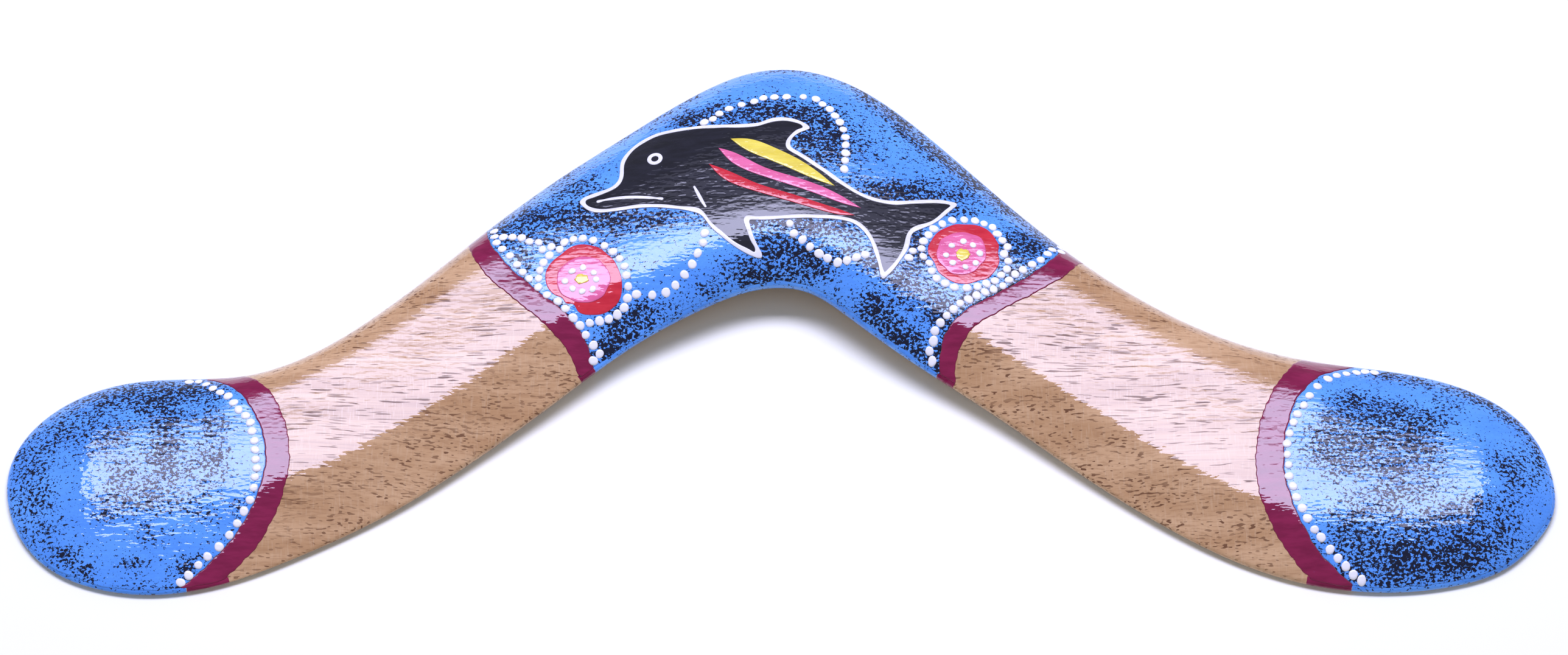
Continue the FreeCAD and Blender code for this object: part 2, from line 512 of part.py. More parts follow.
def edged_zone(name, parts):
    # one loop made of splines and straight runs, given end to end
    body, sketch = sketch_body(name)
    ids = []
    for points in parts:
        if len(points) == 2:
            line = Part.LineSegment(V(points[0][0], points[0][1], 0),
                                    V(points[1][0], points[1][1], 0))
            ids.append(sketch.addGeometry(line, False))
        else:
            ids.append(sketch.addGeometry(spline(points), False))
    for a, b in zip(ids, ids[1:] + ids[:1]):
        sketch.addConstraint(Sketcher.Constraint("Coincident", a, 2, b, 1))
    return pad(body, sketch, name)


def circle_zone(name, centres, diameter):
    body, sketch = sketch_body(name)
    first = None
    for cx, cy in centres:
        k = sketch.addGeometry(Part.Circle(V(cx, cy, 0), V(0, 0, 1), D[diameter] / 2.0), False)
        if first is None:
            first = k
            index = sketch.addConstraint(Sketcher.Constraint("Diameter", k, D[diameter]))
            sketch.setExpression("Constraints[%d]" % index, "Dimensions." + diameter)
        else:
            sketch.addConstraint(Sketcher.Constraint("Equal", first, k))
    return pad(body, sketch, name)


def common(name, base, tool):
    obj = doc.addObject("Part::Common", name)
    obj.Base = base
    obj.Tool = tool
    obj.Label = name
    doc.recompute()
    return obj


# ---------------------------------------------------------------- the blade
nodes = []
blank = closed_zone("blank", [OUTLINE], "Dimensions.stock_height", arcs=[40])
under_top = extrusion("under_top", top_form, "0 mm", "Dimensions.form_depth")
under_top.LengthFwd = 0.0
above_belly = extrusion("above_belly", belly_form, "Dimensions.form_depth")
doc.recompute()
rough = common("rough_blade", blank, above_belly)
nodes.append(common("blade", rough, under_top))

# ---------------------------------------------------------------- paint levels
inset = closed_zone("film_edge", [outline_points(110, D["film_margin"])], arcs=[40])
level1 = extrusion("level1", top_form, "Dimensions.film")
level2 = extrusion("level2", top_form, "2 * Dimensions.film", "-Dimensions.film")
level3 = extrusion("level3", top_form, "3 * Dimensions.film", "-2 * Dimensions.film")
level4 = extrusion("level4", top_form, "4 * Dimensions.film", "-3 * Dimensions.film")
dot_level = extrusion("dot_level", top_form, "Dimensions.film + Dimensions.dot_height",
                      "-Dimensions.film")
petal_level = extrusion("petal_level", top_form,
                        "3 * Dimensions.film + Dimensions.dot_height",
                        "-3 * Dimensions.film")
doc.recompute()
coat = common("coat", inset, level1)


def joined(first, second):
    # closed strip between two borders that both run from back to front
    return [first, [first[-1], second[-1]], second[::-1], [second[0], first[0]]]


ZONES = [
    ("paint_blue_left_tip", [LEFT_TIP_OUTER, [LEFT_TIP_OUTER[-1], (-225, -110)],
                             [(-225, -110), (-225, 20)], [(-225, 20), LEFT_TIP_OUTER[0]]]),
    ("band_left_tip", joined(LEFT_TIP_OUTER, LEFT_TIP_INNER)),
    ("band_left_inner", joined(LEFT_INNER_OUTER, LEFT_INNER_INNER)),
    ("paint_blue_centre", [LEFT_INNER_INNER, [LEFT_INNER_INNER[-1], RIGHT_INNER_INNER[-1]],
                           RIGHT_INNER_INNER[::-1], [RIGHT_INNER_INNER[0], (42, 105)],
                           [(42, 105), (-42, 105)], [(-42, 105), LEFT_INNER_INNER[0]]]),
    ("band_right_inner", joined(RIGHT_INNER_INNER, RIGHT_INNER_OUTER)),
    ("band_right_tip", joined(RIGHT_TIP_INNER, RIGHT_TIP_OUTER)),
    ("paint_blue_right_tip", [RIGHT_TIP_OUTER, [RIGHT_TIP_OUTER[-1], (225, -110)],
                              [(225, -110), (225, 20)], [(225, 20), RIGHT_TIP_OUTER[0]]]),
]
for name, parts in ZONES:
    nodes.append(common(name, coat, edged_zone(name, parts)))

# ---------------------------------------------------------------- rosettes
for side in ("left", "right"):
    for colour, level in (("red", level2), ("pink", level3), ("yellow", level4)):
        name = "rosette_%s_%s" % (side, colour)
        nodes.append(common(name, closed_zone(name, [DISCS[name]], arcs=[6]), level))
for name, centres in PETAL_ROWS.items():
    nodes.append(common(name, circle_zone(name, centres, "petal_diameter"), petal_level))

# ---------------------------------------------------------------- rows of raised dots
for name, centres in DOT_ROWS.items():
    nodes.append(common(name, circle_zone(name, centres, "dot_diameter"), dot_level))

# ---------------------------------------------------------------- the dolphin motif
nodes.append(common("motif_black", closed_zone("motif_black", [MOTIF_OUTER], arcs=[24]), level2))
nodes.append(common("motif_white", closed_zone(
    "motif_white", [MOTIF_OUTER, MOTIF_INNER, MOUTH, FLIPPER], arcs=[24, 24, 4, 4]), level3))
for name, (upper, lower) in STRIPES.items():
    nodes.append(common(name, edged_zone(name, [upper, lower[::-1]]), level3))
eye_body, eye_sketch = sketch_body("motif_eye")
for alias in ("eye_diameter", "pupil_diameter"):
    k = eye_sketch.addGeometry(Part.Circle(V(EYE[0], EYE[1], 0), V(0, 0, 1), D[alias] / 2.0), False)
    index = eye_sketch.addConstraint(Sketcher.Constraint("Diameter", k, D[alias]))
    eye_sketch.setExpression("Constraints[%d]" % index, "Dimensions." + alias)
nodes.append(common("motif_eye", pad(eye_body, eye_sketch, "motif_eye"), level3))

# ---------------------------------------------------------------- checks and export
doc.recompute()
for obj in doc.Objects:
    for flag in ("Invalid", "Error"):
        if flag in obj.State:
            raise RuntimeError("%s is %s" % (obj.Name, flag))
for obj in nodes:
    shape = obj.Shape
    if shape.isNull() or not shape.isValid() or not shape.Solids or shape.Volume <= 0:
        raise RuntimeError("bad shape " + obj.Label)
os.makedirs("parts", exist_ok=True)
for obj in nodes:
    obj.Shape.exportStep("parts/%s.step" % obj.Label)
    box = obj.Shape.BoundBox
    print("%-28s solids %2d  volume %10.3f  box %.2f %.2f %.2f .. %.2f %.2f %.2f" % (
        obj.Label, len(obj.Shape.Solids), obj.Shape.Volume,
        box.XMin, box.YMin, box.ZMin, box.XMax, box.YMax, box.ZMax))
print("nodes", len(nodes))
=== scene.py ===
import math
import bpy
import numpy as np
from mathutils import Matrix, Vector
from mathutils.geometry import delaunay_2d_cdt


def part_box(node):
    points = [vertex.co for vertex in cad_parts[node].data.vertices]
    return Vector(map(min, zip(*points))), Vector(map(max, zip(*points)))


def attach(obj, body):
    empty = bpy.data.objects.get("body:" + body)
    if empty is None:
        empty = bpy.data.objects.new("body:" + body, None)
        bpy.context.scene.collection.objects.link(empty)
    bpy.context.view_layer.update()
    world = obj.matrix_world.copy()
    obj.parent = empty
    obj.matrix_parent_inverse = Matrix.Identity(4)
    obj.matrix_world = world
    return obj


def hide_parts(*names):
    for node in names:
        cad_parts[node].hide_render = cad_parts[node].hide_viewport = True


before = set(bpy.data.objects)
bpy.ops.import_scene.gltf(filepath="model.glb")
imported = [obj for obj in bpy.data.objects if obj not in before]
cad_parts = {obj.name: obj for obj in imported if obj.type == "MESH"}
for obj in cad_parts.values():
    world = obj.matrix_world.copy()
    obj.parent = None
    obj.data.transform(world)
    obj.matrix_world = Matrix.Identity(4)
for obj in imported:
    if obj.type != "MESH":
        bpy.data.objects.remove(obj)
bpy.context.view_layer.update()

# Everything below is laid out in millimetres in the row frame and written to the meshes
# in metres.  The plan tables are the part's own driving tables.
MM = 0.001
RNG = np.random.default_rng(20261)

# Plan outline of the blade, closed, counter-clockwise.
OUTLINE = [
    (-200.03, -41.89), (-199.22, -53.57), (-194.49, -64.16), (-186.15, -72.54), (-174.44, -77.65), (-160.12, -79.33),
    (-143.24, -76.53), (-122.99, -68.06), (-99.98, -55.19), (-77.82, -38.89), (-57.25, -22.22), (-39.93, -8.49),
    (-21.64, 2.16), (-7.28, 7.92), (5.24, 7.97), (17.24, 0.44), (32.2, -11.28), (51.81, -24.75),
    (74.14, -41.76), (96.28, -57.96), (116.82, -69.92), (136.68, -76.82), (155.72, -78.61), (172.44, -76.67),
    (185.37, -71.86), (194.07, -63.92), (199.44, -54.68), (199.83, -44.13), (196.81, -33.62), (189.83, -24.23),
    (178.29, -17.04), (161.33, -12.26), (139.55, -9.09), (118.67, -3.18), (98.24, 7.52), (77.52, 23.08),
    (55.89, 43.41), (36.02, 62.52), (20.69, 73.88), (6.69, 78.83), (-7.41, 78.39), (-22.73, 71.89),
    (-42.8, 58.89), (-65.51, 42.34), (-85.82, 23.86), (-105.35, 6), (-123.06, -7.08), (-139.73, -13.52),
    (-158.08, -14.56), (-174.6, -16.59), (-186.95, -22.42), (-195.66, -31.06),
]
# Ribs across the blade from the left tip centre to the right tip centre:
# trailing-edge end (back) and leading-edge end (front).
RIB_BACK = [
    (-175.42, -16.85), (-159.21, -14.59), (-146.7, -14.31), (-134.32, -12.13), (-122.66, -6.84), (-111.1, 1.21),
    (-99.4, 11.23), (-87.43, 22.33), (-74.58, 34.44), (-60.35, 46.41), (-44.3, 57.86), (-24.94, 70.6),
    (1.73, 79.29), (28.29, 68.9), (46.16, 53.03), (59.59, 39.76), (71.42, 28.49), (83.38, 18.23),
    (96.09, 8.93), (109.11, 1.21), (122.19, -4.51), (135, -8.18), (146.6, -10.18), (159.24, -11.91),
    (176.92, -16.48),
]
RIB_FRONT = [
    (-166, -79.12), (-149.45, -78.1), (-129.8, -71.32), (-111.34, -61.96), (-94.2, -51.28), (-79.16, -39.94),
    (-65.49, -29.01), (-52.71, -18.43), (-40.66, -9), (-28.42, -1.42), (-16.57, 4.64), (-6.84, 8.01),
    (-1.28, 8.73), (3.9, 8.31), (12.71, 4), (23.77, -4.84), (37.12, -14.74), (51.35, -24.43),
    (65.08, -34.7), (79.18, -45.63), (94.42, -56.69), (111.35, -67.14), (131.05, -75.38), (150.95, -78.56),
    (165.96, -77.82),
]
# Borders of the four painted bands, each from the back edge to the front edge.
LEFT_TIP_OUTER = [
    (-158.59, -11.14), (-149.46, -16.16), (-141.45, -22.75), (-135.71, -31.39), (-133.06, -41.41), (-134.03, -51.72),
    (-138.15, -61.25), (-144.28, -69.65), (-151.81, -76.82), (-160.23, -82.95),
]
LEFT_TIP_INNER = [
    (-146.05, -11.38), (-138.59, -17.21), (-132.27, -24.22), (-128.23, -32.75), (-126.72, -42.06), (-127.62, -51.47),
    (-130.65, -60.42), (-135.57, -68.48), (-142.17, -75.25), (-149.71, -80.97),
]
LEFT_INNER_OUTER = [
    (-84.63, 29.83), (-83.05, 22.69), (-80.59, 15.84), (-76.42, 9.85), (-71.28, 4.65), (-65.8, -0.2),
    (-60.47, -5.2), (-55.81, -10.83), (-52.51, -17.33), (-49.99, -24.19),
]
LEFT_INNER_INNER = [
    (-79.45, 33.38), (-78.11, 26.16), (-75.73, 19.26), (-71.46, 13.31), (-66.22, 8.18), (-60.71, 3.32),
    (-55.47, -1.81), (-51.16, -7.73), (-48.68, -14.6), (-47.21, -21.79),
]
RIGHT_INNER_INNER = [
    (77.25, 27.02), (74.16, 20.26), (69.96, 14.17), (64.24, 9.45), (57.97, 5.44), (51.71, 1.43),
    (46.04, -3.35), (42.14, -9.62), (41.33, -16.95), (41.85, -24.37),
]
RIGHT_INNER_OUTER = [
    (82.89, 24.66), (79.75, 17.74), (75.45, 11.51), (69.55, 6.74), (63.06, 2.78), (56.55, -1.15),
    (50.62, -5.88), (46.48, -12.2), (45.34, -19.67), (45.54, -27.27),
]
RIGHT_TIP_INNER = [
    (138.79, -8.03), (132.98, -15.34), (127.99, -23.23), (124.44, -31.86), (122.54, -41), (122.57, -50.33),
    (124.7, -59.41), (128.88, -67.74), (134.85, -74.91), (141.76, -81.2),
]
RIGHT_TIP_OUTER = [
    (159.71, -8.99), (149.44, -12.33), (140.35, -18.04), (133.86, -26.6), (130.4, -36.79), (129.84, -47.54),
    (131.98, -58.09), (136.76, -67.74), (144.06, -75.63), (152.95, -81.75),
]
# Centres of the raised dots, row by row.
DOT_ROWS = {
    "dots_left_tip": [
        (-154.91, -16.71), (-152.42, -16.69), (-150.18, -18.51), (-148.13, -20.74), (-145.98, -22.72), (-143.75, -24.29),
        (-142.12, -26.54), (-140.68, -28.77), (-138.73, -30.58), (-137.37, -32.65), (-136.81, -35.26), (-136.02, -38.11),
        (-135.72, -40.75), (-135.41, -43.52), (-134.96, -46.03), (-135.34, -48.5), (-135.5, -51.46), (-136.28, -54.77),
        (-137.71, -57.74), (-139.28, -61.01), (-141.16, -64.09), (-143.67, -67.17), (-146.51, -69.76), (-148.74, -72),
        (-151.11, -74.68), (-153.08, -76.51),
    ],
    "dots_left_band": [
        (-76.19, 26.46), (-75.94, 23.83), (-75.28, 21.43), (-73.69, 19.13), (-71.56, 16.93), (-69.6, 14.19),
        (-68.08, 11.83), (-66.24, 9.73), (-63.79, 7.06), (-61.45, 4.66), (-58.54, 2.63), (-56.48, 0.46),
        (-54.43, -1.95), (-52.61, -3.85), (-51.1, -6.17), (-49.07, -8.67), (-47.43, -10.7), (-49.05, -12.58),
    ],
    "dots_left_trail": [
        (-73.53, 23.2), (-71.07, 22.86), (-68.61, 22.47), (-66.52, 21.13), (-64.06, 20.8), (-63.02, 18.55),
        (-60.67, 19.32),
    ],
    "dots_left_arc": [
        (-37.89, 4.35), (-33.76, 4.21), (-30.16, 4.96), (-27.68, 6.82), (-25.31, 9.54), (-23.31, 12.23),
        (-21.89, 15.16), (-20.47, 17.98), (-20.06, 20.77),
    ],
    "dots_top_arc": [
        (-20.52, 57.19), (-18.22, 58.11), (-16.5, 59.91), (-13.91, 61.48), (-10.55, 62.65), (-7.14, 63.6),
        (-4.7, 64.81), (-1.72, 65.02), (1.54, 65.18), (6.05, 65.3), (9.47, 64.71), (11.2, 62.87),
        (13.14, 61.14), (14.53, 58.84), (15.82, 56.6), (16.72, 54), (17.29, 51.36), (17.32, 48.74),
        (17.31, 45.99), (17.11, 43.52), (16.89, 40.7),
    ],
    "dots_low_arc": [
        (2.38, 23.22), (3.45, 20.45), (5.73, 18.71), (7.7, 16.73), (10.09, 14.88), (12.32, 13.58),
        (14.98, 12.31), (17.45, 12.66), (19.89, 13.39), (22.25, 14.19),
    ],
    "dots_right_link": [
        (33.7, 13.7), (34.79, 15.92), (37.1, 16.82),
    ],
    "dots_right_band": [
        (74.66, 22.64), (74.4, 20.18), (71.93, 19.93), (70.58, 17.84), (68.63, 15.39), (66.31, 13.75),
        (63.83, 11.92), (61.73, 10.56), (60.06, 8.71), (58.39, 6.86), (55.92, 5.62), (53.64, 4.63),
        (51.42, 3.5), (49.26, 2.19), (47, 0.91), (45.3, -0.92), (43.46, -2.78), (41.77, -4.66),
        (40.31, -6.67), (39.91, -9.12), (38.87, -11.37), (39.57, -13.76),
    ],
    "dots_right_tip": [
        (155.75, -13.61), (153.27, -13.39), (150.88, -14.28), (148.04, -15.38), (145.33, -16.66), (142.78, -18.5),
        (139.72, -21.63), (137.4, -24.82), (135.74, -27.84), (133.92, -30.48), (132.75, -32.94), (131.53, -36.23),
        (130.74, -39.25), (130.63, -42.47), (130.79, -45.5), (130.75, -48.71), (131.61, -51.65), (132.33, -54.75),
        (133.67, -57.79), (134.89, -60.56), (136.57, -63.54), (138.17, -65.59), (140.34, -68.65), (142.28, -70.87),
        (144.23, -72.84), (146.07, -74.88), (148.17, -76.22),
    ],
    "rosette_left_ring_dots": [
        (-61.11, 16.69), (-62.63, 14.51), (-63.48, 12.17), (-63.76, 9.7), (-58.39, 18.34), (-57.21, 20.53),
        (-54.86, 21.33), (-52.37, 21.41), (-49.59, 20.64), (-46.56, 18.7), (-44.28, 16.68), (-42.48, 14.39),
        (-41.17, 12.09), (-40.65, 9.48), (-40.09, 6.4), (-40.27, 3.35), (-41.1, 0.97), (-42.87, -0.79),
        (-45.09, -1.91), (-47.51, -2.48), (-50.08, -3.06),
    ],
    "rosette_right_ring_dots": [
        (45.44, 26.58), (48.62, 27.01), (51.5, 27.13), (53.88, 26.42), (56.15, 25.41), (57.34, 23.23),
        (58.63, 21.11), (59.92, 18.99), (58.93, 16.71), (59.99, 14.46), (59.57, 12.02), (58, 10.11),
        (56.34, 8.26), (54.06, 7.27), (51.68, 6.18), (48.9, 5.56), (45.56, 5.54), (43.18, 6.57),
        (40.93, 7.9), (39.7, 10.07), (39.11, 12.48), (37.52, 14.38), (37.67, 19.23), (39.02, 21.32),
        (40.46, 23.35), (42.78, 25.16),
    ],
}
PETAL_ROWS = {
    "rosette_left_petal_dots": [
        (-56.75, 8.36), (-54.95, 11.3), (-52.09, 12.22), (-49.23, 10.45), (-48.56, 8.46), (-49.42, 5.73),
        (-52.17, 5.18), (-54.73, 6.08),
    ],
    "rosette_right_petal_dots": [
        (48.24, 19.82), (50.74, 18.81), (52.5, 16.31), (51.36, 13.26), (48.61, 11.84), (45.27, 12.91),
        (43.55, 15.12), (45.11, 18.25),
    ],
}
# Closed borders of the rosette discs.
DISCS = {
    "rosette_left_red": [
        (-41.8, 7.96), (-42.19, 10.19), (-42.99, 12.34), (-44.14, 14.39), (-45.76, 16.11), (-47.56, 17.68),
        (-49.63, 18.94), (-51.92, 19.56), (-54.23, 19.4), (-56.31, 18.42), (-57.97, 16.84), (-59.82, 15.45),
        (-61.27, 13.46), (-62.02, 10.98), (-61.82, 8.36), (-60.71, 6.07), (-59.05, 4.42), (-57.27, 3.43),
        (-56.36, 1.88), (-54.63, 1.58), (-53.36, -0.01), (-51.55, -0.94), (-49.5, -1.04), (-47.3, -0.84),
        (-45.17, -0.01), (-43.39, 1.46), (-42.18, 3.43), (-41.67, 5.68),
    ],
    "rosette_right_red": [
        (57.41, 17.02), (57.74, 19.45), (56.79, 21.51), (55.63, 23.3), (54.18, 24.68), (52.41, 25.48),
        (50.5, 25.77), (48.54, 25.6), (46.53, 25.41), (44.55, 24.61), (42.65, 23.44), (41.01, 21.83),
        (39.79, 19.84), (38.89, 17.66), (38.87, 15.39), (40.04, 13.54), (40.77, 11.82), (41.32, 9.88),
        (42.72, 8.58), (44.3, 7.48), (46.15, 6.84), (48.13, 6.84), (50.13, 7.12), (52, 8.02),
        (54.1, 8.73), (55.82, 10.29), (57.05, 12.34), (57.7, 14.66),
    ],
    "rosette_left_pink": [
        (-44.79, 8.51), (-45.16, 10.57), (-46.2, 12.48), (-47.79, 14.07), (-49.79, 15.16), (-52, 15.62),
        (-54.19, 15.39), (-56.15, 14.47), (-57.68, 12.96), (-58.64, 11.02), (-58.94, 8.85), (-58.54, 6.69),
        (-57.5, 4.76), (-55.91, 3.26), (-53.92, 2.32), (-51.74, 2.02), (-49.57, 2.36), (-47.62, 3.29),
        (-46.08, 4.71), (-45.1, 6.51),
    ],
    "rosette_right_pink": [
        (54.22, 16.73), (53.95, 18.82), (53.06, 20.66), (51.64, 22.03), (49.81, 22.81), (47.78, 22.92),
        (45.73, 22.37), (43.87, 21.24), (42.38, 19.63), (41.41, 17.7), (41.05, 15.62), (41.34, 13.61),
        (42.24, 11.85), (43.66, 10.51), (45.47, 9.71), (47.5, 9.54), (49.53, 10.01), (51.38, 11.09),
        (52.87, 12.67), (53.85, 14.6),
    ],
    "rosette_left_yellow": [
        (-50.58, 8.79), (-50.84, 9.53), (-51.51, 10.09), (-52.42, 10.31), (-53.32, 10.14), (-53.98, 9.62),
        (-54.2, 8.88), (-53.95, 8.14), (-53.27, 7.59), (-52.37, 7.37), (-51.47, 7.55), (-50.81, 8.07),
    ],
    "rosette_right_yellow": [
        (49.82, 15.82), (49.59, 16.74), (48.94, 17.36), (48.03, 17.54), (47.12, 17.21), (46.44, 16.48),
        (46.18, 15.53), (46.4, 14.62), (47.05, 14), (47.96, 13.82), (48.87, 14.14), (49.55, 14.87),
    ],
}
# Plain dolphin silhouette: outer and inner border of its white edge line,
# the mouth stroke, the flipper stroke, the eye and three tapering flank stripes.
MOTIF_OUTER = [
    (26.84, 7.12), (26.27, 7.63), (25.89, 9.04), (24.71, 14.54), (23.08, 19.26), (20.98, 22.09),
    (18.11, 23.82), (14.09, 24.56), (10.25, 24.73), (5.46, 24.7), (1.89, 24.54), (-1.57, 24.36),
    (-5.4, 24.24), (-7.42, 24.28), (-8.27, 24.13), (-8.24, 23.28), (-7.59, 21.04), (-5.49, 16.3),
    (-4.82, 14.96), (-4.93, 14.24), (-5.67, 14.05), (-7.07, 14.39), (-11.13, 16.16), (-15.23, 19.15),
    (-18.94, 23.1), (-21.71, 26.71), (-23.57, 27.51), (-29.17, 28.86), (-34.66, 29.73), (-38.99, 29.73),
    (-44.14, 29.27), (-48.43, 29.32), (-51.18, 30.31), (-52.83, 31.99), (-53.42, 33.27), (-52.98, 34.23),
    (-51.4, 35.29), (-47.3, 36.64), (-44.48, 38.06), (-43.27, 39.76), (-43.03, 43.11), (-42.53, 47.17),
    (-40.75, 50.5), (-37.73, 53.43), (-34.02, 55.31), (-29.79, 56.04), (-24.18, 56.02), (-20.61, 55.87),
    (-16.89, 55.64), (-13.15, 55.42), (-9.54, 55.39), (-6.02, 55.65), (-3.32, 56.78), (0.23, 57.43),
    (3.63, 56.98), (6.51, 55.52), (7.6, 54.53), (7.81, 53.76), (7.15, 53.24), (5.59, 52.54),
    (3.41, 50.73), (2.57, 49.02), (2.64, 47.67), (4.07, 46.43), (9.05, 42.71), (14.21, 38.67),
    (19.22, 34.83), (23.48, 32.47), (27.81, 31.46), (32.73, 31.67), (39.18, 32.66), (43.25, 32.89),
    (45.8, 32.7), (46.75, 32.42), (46.9, 31.71), (46.24, 30.78), (43.51, 27.73), (39.57, 24.39),
    (36, 22.41), (34.88, 21.48), (34.19, 18.66), (32.21, 13.77), (29.34, 9.4), (27.62, 7.53),
]
MOTIF_INNER = [
    (27.28, 9.07), (26.97, 9.8), (26.36, 12.68), (24.64, 18.79), (22.21, 22.59), (18.79, 24.86),
    (14.18, 25.75), (9.83, 25.94), (4.36, 25.87), (0.47, 25.66), (-3.44, 25.47), (-7.39, 25.46),
    (-9.12, 25.49), (-9.71, 24.77), (-9.4, 22.88), (-7.5, 17.62), (-6.78, 16.15), (-6.85, 15.64),
    (-7.71, 15.89), (-10.58, 17.24), (-15.13, 20.7), (-19.2, 25.38), (-21.56, 28.29), (-25.71, 29.28),
    (-32.49, 30.71), (-37.82, 30.98), (-43.15, 30.56), (-47.93, 30.47), (-50.74, 31.49), (-51.83, 32.69),
    (-51.85, 33.58), (-50.58, 34.33), (-46.14, 35.75), (-43.14, 37.67), (-41.93, 40.13), (-41.77, 45.08),
    (-40.39, 48.87), (-37.34, 52.2), (-33.25, 54.27), (-28.3, 54.88), (-22.85, 54.77), (-18.9, 54.57),
    (-14.76, 54.31), (-10.51, 54.16), (-6.22, 54.4), (-3.23, 55.52), (0.71, 56.23), (4.29, 55.43),
    (5.63, 54.66), (5.87, 54.08), (4.97, 53.58), (2.77, 51.86), (1.4, 49.35), (1.48, 47.23),
    (3.35, 45.45), (9.19, 41.09), (15, 36.48), (20.25, 32.72), (25.19, 30.66), (30.57, 30.23),
    (37.44, 31.21), (42.57, 31.71), (44.35, 31.64), (45.04, 31.4), (44.59, 30.69), (42.72, 28.64),
    (38.31, 25.02), (34.67, 23.18), (33.72, 21.93), (32.49, 17.39), (29.89, 12.22), (27.93, 9.6),
]
MOUTH = [
    (-49.02, 32.97), (-47.43, 33.48), (-45.8, 33.78), (-44.15, 33.97), (-42.49, 34.05), (-40.83, 34.05),
    (-39.18, 33.95), (-37.52, 33.78), (-35.88, 33.54), (-34.26, 33.23), (-32.65, 32.85), (-31.09, 32.34),
    (-31.17, 31.99), (-32.79, 32.17), (-34.4, 32.41), (-36.02, 32.63), (-37.63, 32.82), (-39.25, 32.96),
    (-40.87, 33.05), (-42.48, 33.08), (-44.09, 33.05), (-45.7, 32.96), (-47.31, 32.79), (-48.94, 32.63),
]
FLIPPER = [
    (-22.92, 35.71), (-22.47, 35.13), (-22.12, 34.51), (-21.79, 33.88), (-21.48, 33.24), (-21.19, 32.6),
    (-20.9, 31.96), (-20.62, 31.31), (-20.34, 30.66), (-20.08, 30.02), (-19.81, 29.36), (-19.63, 28.66),
    (-19.94, 28.49), (-20.43, 29.04), (-20.82, 29.64), (-21.17, 30.27), (-21.5, 30.9), (-21.81, 31.55),
    (-22.1, 32.2), (-22.37, 32.85), (-22.63, 33.51), (-22.88, 34.18), (-23.1, 34.85), (-23.24, 35.56),
]
EYE = (-33.62, 45.74)
STRIPES = {
    "motif_stripe_yellow": ([
        (-13.47, 50.54), (-8.59, 50.29), (-2.09, 47.52), (5.2, 43.2), (11.26, 38.25), (14.47, 35.07),
    ], [
        (-13.47, 50.54), (-10.2, 47.33), (-3.71, 43.57), (3.58, 39.83), (10.04, 36.65), (14.47, 35.07),
    ]),
    "motif_stripe_pink": ([
        (-16.7, 47.69), (-12.63, 46.04), (-5.32, 41.43), (2.77, 38.07), (10.84, 34.93), (18.08, 30.79),
        (21.28, 28.46),
    ], [
        (-16.7, 47.69), (-13.43, 43.1), (-6.12, 38.52), (2.77, 34.99), (10.82, 31.86), (17.26, 29.41),
        (21.28, 28.46),
    ]),
    "motif_stripe_red": ([
        (-19.26, 42.65), (-14.22, 40.18), (-6.11, 35.63), (2.76, 32.35), (10.81, 29.42), (17.24, 27.13),
        (19.65, 26.09),
    ], [
        (-19.26, 42.65), (-15.82, 38.11), (-6.91, 33.19), (2.76, 29.78), (10.81, 27.2), (16.43, 25.99),
        (19.65, 26.09),
    ]),
}


KNOTS = [-1.0, -0.8, -0.5, -0.25, 0.0, 0.25, 0.5, 0.8, 1.0]
SECTION = {
    "crown": [8.4, 9.2, 10.8, 11.6, 11.8, 11.7, 11.0, 9.4, 8.6],
    "rim": [0.6, 0.9, 1.9, 2.5, 2.6, 2.5, 1.9, 0.9, 0.6],
    "share": [0.70, 0.72, 0.70, 0.61, 0.51, 0.58, 0.67, 0.62, 0.56],
    "front": [2.1, 2.1, 2.5, 3.7, 4.8, 4.4, 3.6, 3.2, 3.0],
    "back": [2.3, 2.2, 2.4, 2.8, 3.0, 2.9, 2.7, 2.7, 2.8],
}
ARCH_HEIGHT, ARCH_REACH = 7.4, 52.0
FILM = 0.16
MARGIN = 0.75

# the tables are centred on the CAD box, so they follow it if it is ever moved
LO, HI = [np.array(c) * 1000.0 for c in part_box("blade")]
CENTRE = (LO[:2] + HI[:2]) / 2.0


# ------------------------------------------------------------------ curves in plan
def spline(points, closed=False, count=None, step=None):
    """Cubic curve through the points, sampled evenly."""
    p = np.asarray(points, float)
    if closed:
        p = np.vstack([p, p[:1]])
    t = np.r_[0, np.cumsum(np.hypot(*np.diff(p, axis=0).T))]
    n = len(p)
    h = np.diff(t)
    slope = np.diff(p, axis=0) / h[:, None]
    if closed:
        m = n - 1
        a = np.zeros((m, m))
        b = np.zeros((m, 2))
        for i in range(m):
            hb, ha = h[i - 1], h[i]
            a[i, (i - 1) % m] += hb
            a[i, i] += 2 * (hb + ha)
            a[i, (i + 1) % m] += ha
            b[i] = 6 * (slope[i] - slope[i - 1])
        d2 = np.linalg.solve(a, b)
        d2 = np.vstack([d2, d2[:1]])
    else:
        a = np.eye(n)
        b = np.zeros((n, 2))
        for i in range(1, n - 1):
            a[i, i - 1], a[i, i], a[i, i + 1] = h[i - 1], 2 * (h[i - 1] + h[i]), h[i]
            b[i] = 6 * (slope[i] - slope[i - 1])
        d2 = np.linalg.solve(a, b)

    def at(u):
        i = np.clip(np.searchsorted(t, u, side="right") - 1, 0, n - 2)
        hh = h[i][:, None]
        l, r = (t[i + 1] - u)[:, None], (u - t[i])[:, None]
        return (d2[i] * l ** 3 / (6 * hh) + d2[i + 1] * r ** 3 / (6 * hh)
                + (p[i] / hh - d2[i] * hh / 6) * l + (p[i + 1] / hh - d2[i + 1] * hh / 6) * r)
    fine = at(np.linspace(0, t[-1], 6000))
    s = np.r_[0, np.cumsum(np.hypot(*np.diff(fine, axis=0).T))]
    if count is None:
        count = max(12, int(round(s[-1] / step)))
    v = np.linspace(0, s[-1], count, endpoint=not closed)
    return np.stack([np.interp(v, s, fine[:, 0]), np.interp(v, s, fine[:, 1])], 1)


